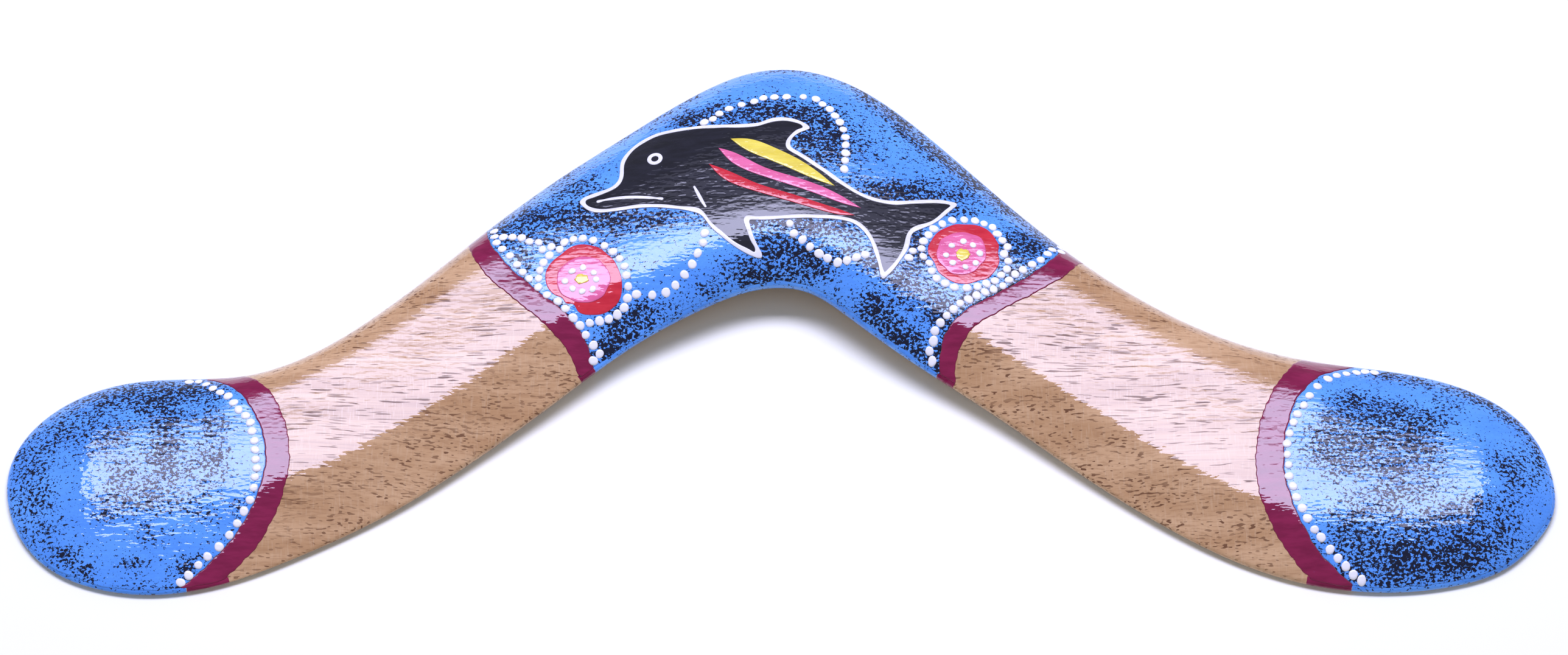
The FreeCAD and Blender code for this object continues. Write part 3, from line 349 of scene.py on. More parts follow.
def by_index(points, k):
    """Cubic curve over the row number of a table, at real-valued rows k."""
    p = np.asarray(points, float)
    n = len(p)
    a = np.eye(n)
    b = np.zeros((n, 2))
    for i in range(1, n - 1):
        a[i, i - 1], a[i, i], a[i, i + 1] = 1, 4, 1
        b[i] = 6 * (p[i + 1] - 2 * p[i] + p[i - 1])
    d2 = np.linalg.solve(a, b)
    i = np.clip(np.floor(k).astype(int), 0, n - 2)
    r = (k - i)[:, None]
    l = 1 - r
    return (d2[i] * l ** 3 / 6 + d2[i + 1] * r ** 3 / 6
            + (p[i] - d2[i] / 6) * l + (p[i + 1] - d2[i + 1] / 6) * r)


def section(name, k):
    """A section table at real-valued ribs k."""
    half = (len(RIB_BACK) - 1) / 2.0
    x = np.clip((np.asarray(k, float) - half) / half, -1, 1)
    xs, ys = np.array(KNOTS), np.array(SECTION[name])
    m = np.gradient(ys, xs)
    m[0] = m[-1] = 0
    i = np.clip(np.searchsorted(xs, x) - 1, 0, len(xs) - 2)
    h = xs[i + 1] - xs[i]
    t = (x - xs[i]) / h
    return ((2 * t ** 3 - 3 * t ** 2 + 1) * ys[i] + (t ** 3 - 2 * t ** 2 + t) * h * m[i]
            + (3 * t ** 2 - 2 * t ** 3) * ys[i + 1] + (t ** 3 - t ** 2) * h * m[i + 1])


def inside(points, loop):
    """Which points lie inside a closed loop."""
    pts = np.asarray(points, float)
    res = np.zeros(len(pts), bool)
    a, b = loop, np.roll(loop, -1, axis=0)
    for lo in range(0, len(pts), 20000):
        q = pts[lo:lo + 20000]
        c = np.zeros(len(q), int)
        for j in range(0, len(a), 200):
            aa, bb = a[j:j + 200], b[j:j + 200]
            up = (aa[None, :, 1] > q[:, None, 1]) != (bb[None, :, 1] > q[:, None, 1])
            with np.errstate(divide="ignore", invalid="ignore"):
                xc = (bb[None, :, 0] - aa[None, :, 0]) * (q[:, None, 1] - aa[None, :, 1]) \
                    / (bb[None, :, 1] - aa[None, :, 1]) + aa[None, :, 0]
            c += (up & (q[:, None, 0] < xc)).sum(1)
        res[lo:lo + 20000] = c % 2 == 1
    return res


def distance(points, loops):
    """Distance from each point to the nearest loop edge."""
    pts = np.asarray(points, float)
    best = np.full(len(pts), 1e9)
    for loop in loops:
        a, b = loop, np.roll(loop, -1, axis=0)
        e = b - a
        ee = np.maximum((e ** 2).sum(1), 1e-12)
        for lo in range(0, len(pts), 4000):
            q = pts[lo:lo + 4000]
            near = best[lo:lo + 4000]
            for j in range(0, len(a), 400):
                w = q[:, None, :] - a[None, j:j + 400]
                t = np.clip((w * e[None, j:j + 400]).sum(2) / ee[None, j:j + 400], 0, 1)
                d = np.hypot(w[..., 0] - t * e[None, j:j + 400, 0], w[..., 1] - t * e[None, j:j + 400, 1])
                near = np.minimum(near, d.min(1))
            best[lo:lo + 4000] = near
    return best


OUT = spline(OUTLINE, True, count=2600)


def rays_to_outline(origin, direction, both=False):
    """Length from each origin along each unit direction to the plan outline."""
    a, b = OUT, np.roll(OUT, -1, axis=0)
    e = b - a
    fwd = np.full(len(origin), 1e9)
    bck = np.full(len(origin), 1e9)
    for i in range(len(origin)):
        o, d = origin[i], direction[i]
        den = d[0] * e[:, 1] - d[1] * e[:, 0]
        w = a - o
        with np.errstate(divide="ignore", invalid="ignore"):
            t = (w[:, 0] * e[:, 1] - w[:, 1] * e[:, 0]) / den
            u = (w[:, 0] * d[1] - w[:, 1] * d[0]) / den
        ok = (u >= 0) & (u < 1) & np.isfinite(t)
        f, g = t[ok & (t > 0)], -t[ok & (t < 0)]
        if len(f):
            fwd[i] = f.min()
        if len(g):
            bck[i] = g.min()
    return (fwd, bck) if both else fwd


# ------------------------------------------------------------------ the carved top surface
NR = 961
RK = np.linspace(0, len(RIB_BACK) - 1, NR)
_b, _f = by_index(RIB_BACK, RK), by_index(RIB_FRONT, RK)
RU = (_b - _f) / np.hypot(*(_b - _f).T)[:, None]
RM = _f + (_b - _f) * section("share", RK)[:, None]
RT = np.stack([RU[:, 1], -RU[:, 0]], 1)            # along the span, towards the right tip
RB, RF = rays_to_outline(RM, RU, True)
NF = 181
FAN = {}
for _end, _side in ((0, -1), (NR - 1, 1)):
    _turn = np.linspace(0, math.pi, NF)
    _d = RU[_end] * np.cos(_turn)[:, None] + RT[_end] * _side * np.sin(_turn)[:, None]
    FAN[_side] = (_turn, _d, rays_to_outline(np.repeat(RM[_end:_end + 1], NF, 0), _d))


def arch(x):
    """The bow of the blade: the elbow stands clear of the table."""
    return ARCH_HEIGHT * np.exp(-(np.asarray(x) / ARCH_REACH) ** 2)


def dome(k, tau, power):
    high, low = section("crown", k), section("rim", k) + 1.0
    q = np.minimum(tau, 1.1)
    z = low + (high - low) * (1 - q ** power)
    return z - (high - low) * power * 1.1 ** (power - 1) * np.maximum(tau - 1.1, 0)


def arm_share(k):
    """1 on the two arms, 0 over the elbow and in the paddles."""
    half = (len(RIB_BACK) - 1) / 2.0
    along = np.abs(np.asarray(k, float) - half) / half
    arm = np.clip((along - 0.24) / 0.16, 0, 1) * np.clip((0.90 - along) / 0.16, 0, 1)
    return arm * arm * (3 - 2 * arm)


def bevelled(k, tau, power):
    """Front half of a section: on the arms a nearly flat top meets the front bevel in a
    crease, which dies out over the elbow and in the paddles."""
    high, low = section("crown", k), section("rim", k) + 1.0
    soft, lean, gentle, wide = dome(k, tau, power), 0.12, 0.30, 0.022
    crease = np.where(np.asarray(k) < (len(RIB_BACK) - 1) / 2.0, 0.545, 0.625)
    steep = (1 - gentle - lean) / (1 - crease)
    q = np.minimum(tau, 1.6)
    drop = lean * q + gentle * q ** 2 + steep * wide * np.logaddexp(0.0, (q - crease) / wide)
    return soft + (high - (high - low) * drop - soft) * arm_share(k)


def raw_height(p):
    """Height of the top form over plan points, and their (rib, tau, front/back) place."""
    z = np.full(len(p), -4.0)
    coarse = np.arange(0, NR, 12)
    for lo in range(0, len(p), 30000):
        q = p[lo:lo + 30000]
        w = q[:, None, :] - RM[None, coarse]
        g = (w * RT[None, coarse]).sum(2)
        v = np.abs((w * RU[None, coarse]).sum(2))
        cross = (g[:, :-1] > 0) & (g[:, 1:] <= 0)
        cost = np.where(cross, v[:, :-1], 1e9)
        j = cost.argmin(1)
        has = cost[np.arange(len(q)), j] < 60
        zz = np.full(len(q), -4.0)
        a, b = coarse[j].copy(), coarse[j + 1].copy()
        for _ in range(5):
            m = (a + b) // 2
            gm = ((q - RM[m]) * RT[m]).sum(1)
            a, b = np.where(gm > 0, m, a), np.where(gm > 0, b, m)
            b = np.maximum(b, a + 1)
        b = np.minimum(b, NR - 1)
        ga, gb = ((q - RM[a]) * RT[a]).sum(1), ((q - RM[b]) * RT[b]).sum(1)
        fr = np.clip(ga / np.where(np.abs(ga - gb) < 1e-9, 1e-9, ga - gb), 0, 1)

        def mix(arr):
            f = fr[:, None] if arr.ndim == 2 else fr
            return arr[a] * (1 - f) + arr[b] * f
        k = RK[a] * (1 - fr) + RK[b] * fr
        vv = ((q - mix(RM)) * mix(RU)).sum(1)
        tau = np.where(vv > 0, vv / mix(RB), -vv / mix(RF))
        share = arm_share(k)
        lean_back = 0.095 * np.maximum(vv, 0) * np.clip(1 - tau, 0, 1) * share
        zz = np.where(has & (vv > 0), dome(k, tau, section("back", k) + 1.8 * share) + lean_back, zz)
        zz = np.where(has & (vv <= 0), bevelled(k, tau, section("front", k)), zz)
        for side, end in ((-1, 0), (1, NR - 1)):
            d = q - RM[end]
            along = (d * RT[end]).sum(1) * side
            fan = (along > 0) & (np.hypot(*d.T) < 60) & ~(has & (np.abs(j - (0 if side < 0 else len(coarse) - 2)) > 4))
            dist = np.maximum(np.hypot(*d.T), 1e-6)
            turn = np.arccos(np.clip((d * RU[end]).sum(1) / dist, -1, 1))
            reach = np.interp(turn, FAN[side][0], FAN[side][2])
            kk = np.full(len(q), RK[end])
            swing = (1 - np.cos(turn)) / 2
            power = section("back", kk) + (section("front", kk) - section("back", kk)) * swing
            zz = np.where(fan, dome(kk, dist / reach, power), zz)
        z[lo:lo + 30000] = np.maximum(zz, -4.0)
    return z


GS = 0.5
GX = np.arange(-206, 206.01, GS)
GY = np.arange(-88, 88.01, GS)
_X, _Y = np.meshgrid(GX, GY)
_H = raw_height(np.stack([_X.ravel(), _Y.ravel()], 1)).reshape(_X.shape)


def soften(a, sigma):
    n = int(math.ceil(3 * sigma))
    w = np.exp(-0.5 * (np.arange(-n, n + 1) / sigma) ** 2)
    w /= w.sum()
    pad = np.pad(a, n, mode="edge")
    r = sum(w[i] * pad[n:-n, i:i + a.shape[1]] for i in range(2 * n + 1))
    pad = np.pad(r, n, mode="edge")
    return sum(w[i] * pad[i:i + a.shape[0], n:-n] for i in range(2 * n + 1))


_H = soften(_H, 1.2 / GS) + arch(_X)
# hand carving: long shallow facets from the rasp and sanding block
for _ in range(34):
    _lam = RNG.uniform(16, 60)
    _ang = RNG.uniform(0, math.pi)
    _ph = RNG.uniform(0, 2 * math.pi)
    _amp = 0.00042 * _lam * RNG.uniform(0.5, 1.0)
    _H += _amp * np.cos((_X * math.cos(_ang) + _Y * math.sin(_ang)) * 2 * math.pi / _lam + _ph)


def height(p):
    """Height of the carved top over plan points, by bicubic interpolation."""
    p = np.asarray(p, float)
    fx, fy = (p[:, 0] - GX[0]) / GS, (p[:, 1] - GY[0]) / GS
    ix = np.clip(np.floor(fx).astype(int), 1, len(GX) - 3)
    iy = np.clip(np.floor(fy).astype(int), 1, len(GY) - 3)
    tx, ty = fx - ix, fy - iy

    def w(t):
        return [-0.5 * t + t ** 2 - 0.5 * t ** 3, 1 - 2.5 * t ** 2 + 1.5 * t ** 3,
                0.5 * t + 2 * t ** 2 - 1.5 * t ** 3, -0.5 * t ** 2 + 0.5 * t ** 3]
    wx, wy = w(tx), w(ty)
    z = 0
    for j in range(4):
        for i in range(4):
            z = z + wy[j] * wx[i] * _H[iy + j - 1, ix + i - 1]
    return z


# ------------------------------------------------------------------ mesh helpers
def to_world(v):
    v = np.asarray(v, float).copy()
    v[:, 0] += CENTRE[0]
    v[:, 1] += CENTRE[1]
    v[:, 2] += LO[2]
    return v * MM


def make_mesh(name, verts, faces, material, nodes, smooth=True, attrs=None):
    mesh = bpy.data.meshes.new(name)
    mesh.from_pydata([tuple(map(float, v)) for v in to_world(verts)], [], [tuple(int(i) for i in f) for f in faces])
    mesh.validate(clean_customdata=False)
    if smooth:
        mesh.polygons.foreach_set("use_smooth", [True] * len(mesh.polygons))
    for key, vals in (attrs or {}).items():
        a = mesh.attributes.new(key, "FLOAT", "POINT")
        a.data.foreach_set("value", np.asarray(vals, np.float32))
    mesh.materials.append(material)
    mesh.update()
    obj = bpy.data.objects.new(name, mesh)
    bpy.context.scene.collection.objects.link(obj)
    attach(obj, "root")
    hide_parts(*nodes)
    return obj


def resample(loop, step):
    q = np.vstack([loop, loop[:1]])
    s = np.r_[0, np.cumsum(np.hypot(*np.diff(q, axis=0).T))]
    n = max(8, int(round(s[-1] / step)))
    v = np.linspace(0, s[-1], n, endpoint=False)
    return np.stack([np.interp(v, s, q[:, 0]), np.interp(v, s, q[:, 1])], 1)


def area(loop):
    return 0.5 * np.sum(loop[:, 0] * np.roll(loop[:, 1], -1) - np.roll(loop[:, 0], -1) * loop[:, 1])


def normals(loop):
    """Unit normals to the left of travel."""
    d = np.roll(loop, -1, axis=0) - np.roll(loop, 1, axis=0)
    d /= np.maximum(np.hypot(*d.T), 1e-9)[:, None]
    return np.stack([-d[:, 1], d[:, 0]], 1)


def film(name, loops, base, thick, material, spacing=1.3, edge=0.55, lip=0.3,
         attrs=None, ripple=None, nodes=None):
    """A paint film lying on the carved top: closed, with a rounded lip.  loops[0] is the
    outer border, the others are holes.  base is the height of its underside over the wood."""
    rings = []
    for i, loop in enumerate(loops):
        loop = resample(np.asarray(loop, float), edge)
        if (area(loop) > 0) != (i == 0):
            loop = loop[::-1]
        rings.append(loop)
    pts = [r for r in rings]
    for share in (0.35, 1.0):
        for r in rings:
            q = r + normals(r) * lip * share
            q = q[:: (1 if share < 1 else 1)]
            d = distance(q, rings)
            pts.append(q[d > lip * share * 0.93])
    lo, hi = rings[0].min(0), rings[0].max(0)
    rows = np.arange(lo[1], hi[1], spacing * 0.866)
    hexes = []
    for j, y in enumerate(rows):
        x = np.arange(lo[0] + (spacing / 2 if j % 2 else 0), hi[0], spacing)
        hexes.append(np.stack([x, np.full(len(x), y)], 1))
    hexes = np.vstack(hexes)
    ok = inside(hexes, rings[0])
    for hole in rings[1:]:
        ok &= ~inside(hexes, hole)
    hexes = hexes[ok]
    if len(hexes):
        hexes = hexes[distance(hexes, rings) > lip + spacing * 0.42]
    pts.append(hexes)
    allp = np.vstack(pts)
    edges, start = [], 0
    for r in rings:
        n = len(r)
        edges += [(start + k, start + (k + 1) % n) for k in range(n)]
        start += n
    res = delaunay_2d_cdt([Vector((float(a), float(b))) for a, b in allp], edges, [], 0, 1e-5, False)
    v = np.array([(p[0], p[1]) for p in res[0]])
    tri = np.array([f for f in res[2] if len(f) == 3])
    c = v[tri].mean(1)
    keep = inside(c, rings[0])
    for hole in rings[1:]:
        keep &= ~inside(c, hole)
    tri = tri[keep]
    e1, e2 = v[tri[:, 1]] - v[tri[:, 0]], v[tri[:, 2]] - v[tri[:, 0]]
    ar = e1[:, 0] * e2[:, 1] - e1[:, 1] * e2[:, 0]
    tri = tri[np.abs(ar) > 1e-7]
    ar = ar[np.abs(ar) > 1e-7]
    tri = np.where((ar < 0)[:, None], tri[:, ::-1], tri)
    used = np.unique(tri)
    remap = -np.ones(len(v), int)
    remap[used] = np.arange(len(used))
    v, tri = v[used], remap[tri]
    d = distance(v, rings)
    lift = thick * np.sqrt(np.clip(1 - (1 - np.minimum(d / lip, 1)) ** 2, 0, 1))
    if ripple is not None:
        lift = lift + ripple(v) * np.minimum(d / lip, 1)
    zt = height(v) + base
    border = d < 1e-4
    # border vertices are those used by an edge with a single triangle
    ed = np.sort(np.vstack([tri[:, [0, 1]], tri[:, [1, 2]], tri[:, [2, 0]]]), axis=1)
    ue, cnt = np.unique(ed, axis=0, return_counts=True)
    border = np.zeros(len(v), bool)
    border[ue[cnt == 1].ravel()] = True
    top = np.column_stack([v, zt + np.where(border, -0.01, lift)])
    low = np.column_stack([v, zt - 0.03])
    idx = np.where(border, np.arange(len(v)), 0)
    extra = np.where(~border)[0]
    idx[extra] = len(v) + np.arange(len(extra))
    verts = np.vstack([top, low[extra]])
    faces = [tuple(t) for t in tri] + [tuple(idx[t][::-1]) for t in tri]
    at = {}
    for key, fn in (attrs or {}).items():
        val = fn(v)
        at[key] = np.r_[val, val[extra]]
    return make_mesh(name, verts, faces, material, nodes or [name], attrs=at)


def blob_dots(name, centres, radius, base, material, tall=0.42):
    """Raised paint drops: each a slightly uneven dome that sits on the surface."""
    verts, faces = [], []
    seg = 22
    prof = [(0.0, 1.0), (0.3, 0.99), (0.55, 0.93), (0.75, 0.79), (0.9, 0.53), (0.98, 0.22), (1.0, -0.10)]
    for c in centres:
        r0 = radius * RNG.uniform(0.90, 1.06)
        stretch, ang = RNG.uniform(0.93, 1.07), RNG.uniform(0, math.pi)
        ph = RNG.uniform(0, 2 * math.pi, 3)
        h = tall * RNG.uniform(0.85, 1.15)
        off = RNG.uniform(-0.22, 0.22, 2) * radius
        start = len(verts)
        th = np.arange(seg) * 2 * math.pi / seg
        rim = r0 * (1 + 0.035 * np.cos(2 * th + ph[0]) + 0.025 * np.cos(3 * th + ph[1]) + 0.012 * np.cos(5 * th + ph[2]))
        ring_pts = []
        for u, w in prof:
            x = rim * u * np.cos(th) * stretch
            y = rim * u * np.sin(th) / stretch
            xx = c[0] + x * math.cos(ang) - y * math.sin(ang) + off[0] * (1 - u) * 0.6
            yy = c[1] + x * math.sin(ang) + y * math.cos(ang) + off[1] * (1 - u) * 0.6
            ring_pts.append((np.stack([xx, yy], 1), w))
        p0 = ring_pts[0][0].mean(0)
        verts.append((p0[0], p0[1], float(height(p0[None])[0]) + base + h))
        for pts, w in ring_pts[1:]:
            z = height(pts) + base + h * w
            verts += [(a, b, zz) for (a, b), zz in zip(pts, z)]
        low = ring_pts[-1][0].mean(0)
        verts.append((low[0], low[1], float(height(low[None])[0]) + base - 0.06))
        n = len(ring_pts) - 1
        for k in range(seg):
            k2 = (k + 1) % seg
            faces.append((start, start + 1 + k, start + 1 + k2))
            for j in range(n - 1):
                a = start + 1 + j * seg
                faces.append((a + k, a + seg + k, a + seg + k2, a + k2))
            a = start + 1 + (n - 1) * seg
            faces.append((len(verts) - 1, a + k2, a + k))
    return make_mesh(name, np.array(verts), faces, material, [name])


# ------------------------------------------------------------------ node materials
class Nodes:
    """Small helper for building shader trees."""

    def __init__(self, name):
        self.mat = bpy.data.materials.new(name)
        self.mat.use_nodes = True
        self.tree = self.mat.node_tree
        self.tree.nodes.clear()
        self.out = self.tree.nodes.new("ShaderNodeOutputMaterial")
        self.bsdf = self.tree.nodes.new("ShaderNodeBsdfPrincipled")
        self.tree.links.new(self.bsdf.outputs[0], self.out.inputs[0])
        self.obj = self.tree.nodes.new("ShaderNodeTexCoord").outputs["Object"]

    def put(self, socket, value):
        if isinstance(value, bpy.types.NodeSocket):
            self.tree.links.new(value, socket)
        elif isinstance(value, (tuple, list)) and socket.type == "RGBA" and len(value) == 3:
            socket.default_value = (*value, 1.0)
        else:
            socket.default_value = value

    def math(self, op, a, b=0.0, c=None, clamp=False):
        n = self.tree.nodes.new("ShaderNodeMath")
        n.operation = op
        n.use_clamp = clamp
        self.put(n.inputs[0], a)
        self.put(n.inputs[1], b)
        if c is not None:
            self.put(n.inputs[2], c)
        return n.outputs[0]

    def mm(self, scale=(1, 1, 1), rot=(0, 0, 0), shift=(0, 0, 0), vector=None):
        """Object coordinates in mm, divided by scale."""
        n = self.tree.nodes.new("ShaderNodeMapping")
        n.vector_type = "POINT"
        self.put(n.inputs["Vector"], vector or self.obj)
        n.inputs["Rotation"].default_value = rot
        n.inputs["Location"].default_value = shift
        n.inputs["Scale"].default_value = tuple(1000.0 / s for s in scale)
        return n.outputs[0]

    def noise(self, vector, scale=1.0, detail=2.0, rough=0.5, distort=0.0, colour=False):
        n = self.tree.nodes.new("ShaderNodeTexNoise")
        n.noise_dimensions = "3D"
        self.put(n.inputs["Vector"], vector)
        n.inputs["Scale"].default_value = scale
        n.inputs["Detail"].default_value = detail
        n.inputs["Roughness"].default_value = rough
        n.inputs["Distortion"].default_value = distort
        return n.outputs["Color" if colour else "Fac"]

    def voronoi(self, vector, scale=1.0, feature="F1", rand=1.0):
        n = self.tree.nodes.new("ShaderNodeTexVoronoi")
        n.feature = feature
        self.put(n.inputs["Vector"], vector)
        n.inputs["Scale"].default_value = scale
        n.inputs["Randomness"].default_value = rand
        return n.outputs["Distance"]

    def ramp(self, fac, lo, hi, a=0.0, b=1.0, smooth=True):
        n = self.tree.nodes.new("ShaderNodeMapRange")
        n.interpolation_type = "SMOOTHSTEP" if smooth else "LINEAR"
        self.put(n.inputs["Value"], fac)
        self.put(n.inputs["From Min"], lo)
        self.put(n.inputs["From Max"], hi)
        self.put(n.inputs["To Min"], a)
        self.put(n.inputs["To Max"], b)
        return n.outputs[0]

    def mix(self, fac, a, b, mode="MIX"):
        n = self.tree.nodes.new("ShaderNodeMix")
        n.data_type = "RGBA"
        n.blend_type = mode
        self.put(n.inputs[0], fac)
        self.put(n.inputs[6], a)
        self.put(n.inputs[7], b)
        return n.outputs[2]

    def add_vec(self, a, b, scale=1.0):
        n = self.tree.nodes.new("ShaderNodeVectorMath")
        n.operation = "MULTIPLY_ADD"
        self.put(n.inputs[0], b)
        n.inputs[1].default_value = (scale, scale, scale) if not isinstance(scale, tuple) else scale
        self.put(n.inputs[2], a)
        return n.outputs[0]

    def attr(self, name):
        n = self.tree.nodes.new("ShaderNodeAttribute")
        n.attribute_name = name
        return n.outputs["Fac"]

    def bump(self, heightfield, dist_mm, strength=1.0, normal=None):
        n = self.tree.nodes.new("ShaderNodeBump")
        n.inputs["Strength"].default_value = strength
        n.inputs["Distance"].default_value = dist_mm * MM
        self.put(n.inputs["Height"], heightfield)
        if normal is not None:
            self.put(n.inputs["Normal"], normal)
        return n.outputs[0]

    def varnish(self, colour, rough=0.42, coat_rough=0.02, streak=0.026, peel=0.004, base_bump=None,
                coat=1.0):
        """Pigment under a brushed clear coat.  The coat follows the grain: long low ridges
        along the span with a fine orange peel on top."""
        warp = self.noise(self.mm((30, 12, 12)), 1.0, 1.0, colour=True)
        v = self.add_vec(self.mm((8.0, 1.5, 1.5)), warp, 0.9)
        streaks = self.noise(v, 1.0, 1.6, 0.45)
        fine = self.noise(self.add_vec(self.mm((2.1, 1.05, 1.05)), warp, 0.6), 1.0, 1.2, 0.5)
        n1 = self.bump(streaks, streak * 3.0)
        n2 = self.bump(fine, peel * 3.0, normal=n1)
        b = self.bsdf
        self.put(b.inputs["Base Color"], colour)
        self.put(b.inputs["Roughness"], rough)
        b.inputs["Specular IOR Level"].default_value = 0.02
        self.put(b.inputs["Coat Weight"], coat)
        self.put(b.inputs["Coat Roughness"], coat_rough)
        b.inputs["Coat IOR"].default_value = 1.53
        self.put(b.inputs["Coat Normal"], n2)
        self.put(b.inputs["Normal"], base_bump if base_bump is not None else n2)
        return self.mat


BLUE_TONES = ((0.084, 0.300, 0.830), (0.118, 0.375, 0.930))
BURG_TONES = ((0.190, 0.004, 0.044), (0.262, 0.010, 0.064))


def wood_material():
    n = Nodes("varnished_hardwood")
    # slow wander of the grain
    warp = n.noise(n.mm((70, 40, 40)), 1.0, 2.0, 0.5, colour=True)
    base = n.add_vec(n.mm(), warp, (6.0, 5.0, 3.0))

    def stretched(scale, shift=(0, 0, 0)):
        m = n.tree.nodes.new("ShaderNodeMapping")
        n.put(m.inputs["Vector"], base)
        m.inputs["Scale"].default_value = tuple(1.0 / s for s in scale)
        m.inputs["Location"].default_value = shift
        return m.outputs[0]
    # broad tone: growth layers and darker heart patches
    tone = n.noise(stretched((60, 7, 7)), 1.0, 3.0, 0.55)
    tone = n.ramp(tone, 0.32, 0.68)
    col = n.mix(tone, (0.500, 0.283, 0.130), (0.660, 0.414, 0.216))
    # fine fibre lines along the span
    fibre = n.noise(stretched((18, 0.50, 0.50), (3, 1, 7)), 1.0, 2.0, 0.6)
    col = n.mix(n.ramp(fibre, 0.45, 0.68, 0.0, 0.50), col, (0.380, 0.200, 0.090))
    # ray flecks and sanding marks across the grain
    fleck = n.noise(stretched((0.50, 5.0, 5.0), (9, 4, 2)), 1.0, 2.0, 0.6)
    col2 = n.mix(n.ramp(fleck, 0.50, 0.74, 0.0, 0.20), col, (0.780, 0.590, 0.380))
    # open pores: dark dashes along the span, longer on the flat top than on the bevels
    geo = n.tree.nodes.new("ShaderNodeNewGeometry")
    sep = n.tree.nodes.new("ShaderNodeSeparateXYZ")
    n.put(sep.inputs[0], geo.outputs["Normal"])
    flat = n.ramp(sep.outputs["Z"], 0.93, 0.985)
    where = n.noise(stretched((34, 9, 9), (5, 5, 5)), 1.0, 1.0)
    longp = n.noise(stretched((5.5, 0.48, 0.48), (1, 2, 3)), 1.0, 0.6, 0.4)
    shortp = n.noise(stretched((2.0, 0.55, 0.55), (4, 8, 1)), 1.0, 0.6, 0.4)
    lim_long = n.ramp(where, 0.30, 0.70, 0.690, 0.585)
    lim_short = n.ramp(where, 0.30, 0.70, 0.655, 0.572)
    pl = n.ramp(longp, lim_long, n.math("ADD", lim_long, 0.05))
    ps = n.ramp(shortp, lim_short, n.math("ADD", lim_short, 0.05))
    pores = n.math("ADD", n.math("MULTIPLY", pl, flat), n.math("MULTIPLY", ps, n.math("SUBTRACT", 1.0, flat)), clamp=True)
    depth = n.noise(stretched((9, 3, 3)), 1.0, 1.0)
    pores_c = n.math("MULTIPLY", pores, n.ramp(depth, 0.3, 0.7, 0.45, 0.95))
    col3 = n.mix(pores_c, col2, (0.150, 0.064, 0.030))
    # the paint runs on over the rim, in the tone of the zone above it
    speckle = n.noise(n.mm((0.9, 0.7, 0.7)), 1.0, 2.0, 0.6)
    rim_blue = n.mix(n.ramp(speckle, 0.60, 0.63), n.mix(n.ramp(tone, 0.3, 0.7), *BLUE_TONES), (0.010, 0.011, 0.022))
    rag = n.math("MULTIPLY", n.math("SUBTRACT", n.noise(n.mm((3, 3, 1.2)), 1.0, 2.0), 0.5), 0.5)
    col4 = n.mix(n.ramp(n.math("ADD", n.attr("rim_blue"), rag), 0.47, 0.53), col3, rim_blue)
    col5 = n.mix(n.ramp(n.math("ADD", n.attr("rim_burgundy"), rag), 0.47, 0.53), col4, n.mix(n.ramp(tone, 0.3, 0.7), *BURG_TONES))
    # below it a thin pale line on the bare lower edge: a painted reflection of the white floor in the varnish, not the
    # wood's own colour
    col6 = n.mix(n.ramp(n.attr("painted_floor_reflection"), 0.35, 0.75, 0.0, 0.70), col5, (0.74, 0.68, 0.70))
    hollow = n.bump(n.math("SUBTRACT", 1.0, pores), 0.05)
    gloss = n.math("SUBTRACT", 1.0, n.math("MULTIPLY", pores_c, 0.70))
    return n.varnish(col6, rough=0.46, coat_rough=0.024, streak=0.026, peel=0.015, base_bump=hollow, coat=gloss)


def blue_material():
    n = Nodes("blue_enamel_sponged")
    tone = n.noise(n.mm((26, 14, 14)), 1.0, 3.0, 0.6)
    col = n.mix(n.ramp(tone, 0.3, 0.7), *BLUE_TONES)
    fine = n.noise(n.mm((0.9, 0.6, 0.6)), 1.0, 3.0, 0.7)
    col = n.mix(n.ramp(fine, 0.42, 0.70, 0.0, 0.30), col, (0.12, 0.41, 0.93))
    dens = n.math("SUBTRACT", 1.0, n.math("EXPONENT", n.math("MULTIPLY", n.attr("speck"), -1.6)))
    # sponge print: ragged flecks whose share follows the density field
    warp = n.noise(n.mm((1.6, 1.6, 1.6)), 1.0, 2.0, colour=True)
    flecks = n.noise(n.add_vec(n.mm((0.88, 0.72, 0.8)), warp, 0.8), 1.0, 2.0, 0.6)
    clumps = n.noise(n.mm((7, 5, 5)), 1.0, 2.0, 0.6)
    level = n.math("SUBTRACT", 0.690, n.math("MULTIPLY", dens, 0.255))
    level = n.math("SUBTRACT", level, n.math("MULTIPLY", n.math("SUBTRACT", clumps, 0.5), 0.20))
    fac = n.ramp(flecks, level, n.math("ADD", level, 0.010))
    dust = n.noise(n.mm((0.55, 0.5, 0.5)), 1.0, 1.0, 0.6)
    dlev = n.math("SUBTRACT", 0.735, n.math("MULTIPLY", dens, 0.16))
    dfac = n.ramp(dust, dlev, n.math("ADD", dlev, 0.02))
    fac = n.math("MAXIMUM", fac, n.math("MULTIPLY", dfac, 0.85))
    col = n.mix(fac, col, (0.010, 0.013, 0.030))
    gloss = n.math("SUBTRACT", 1.0, n.math("MULTIPLY", fac, 0.55))
    return n.varnish(col, rough=0.40, coat_rough=0.03, streak=0.040, peel=0.034, coat=gloss)


def enamel(name, lo, hi, streak=0.030, patch=None, wear=None):
    """A brushed enamel: two close tones laid in strokes, a few thin spots."""
    n = Nodes(name)
    tone = n.noise(n.mm((9, 2.2, 2.2)), 1.0, 3.0, 0.6)
    col = n.mix(n.ramp(tone, 0.3, 0.7), lo, hi)
    if patch:
        thin = n.noise(n.mm((1.4, 0.8, 0.8), shift=(3, 7, 1)), 1.0, 3.0, 0.65)
        col = n.mix(n.ramp(thin, patch[1], patch[1] + 0.04), col, patch[0])
    return n.varnish(col, rough=0.40, coat_rough=0.02, streak=streak, peel=0.022)


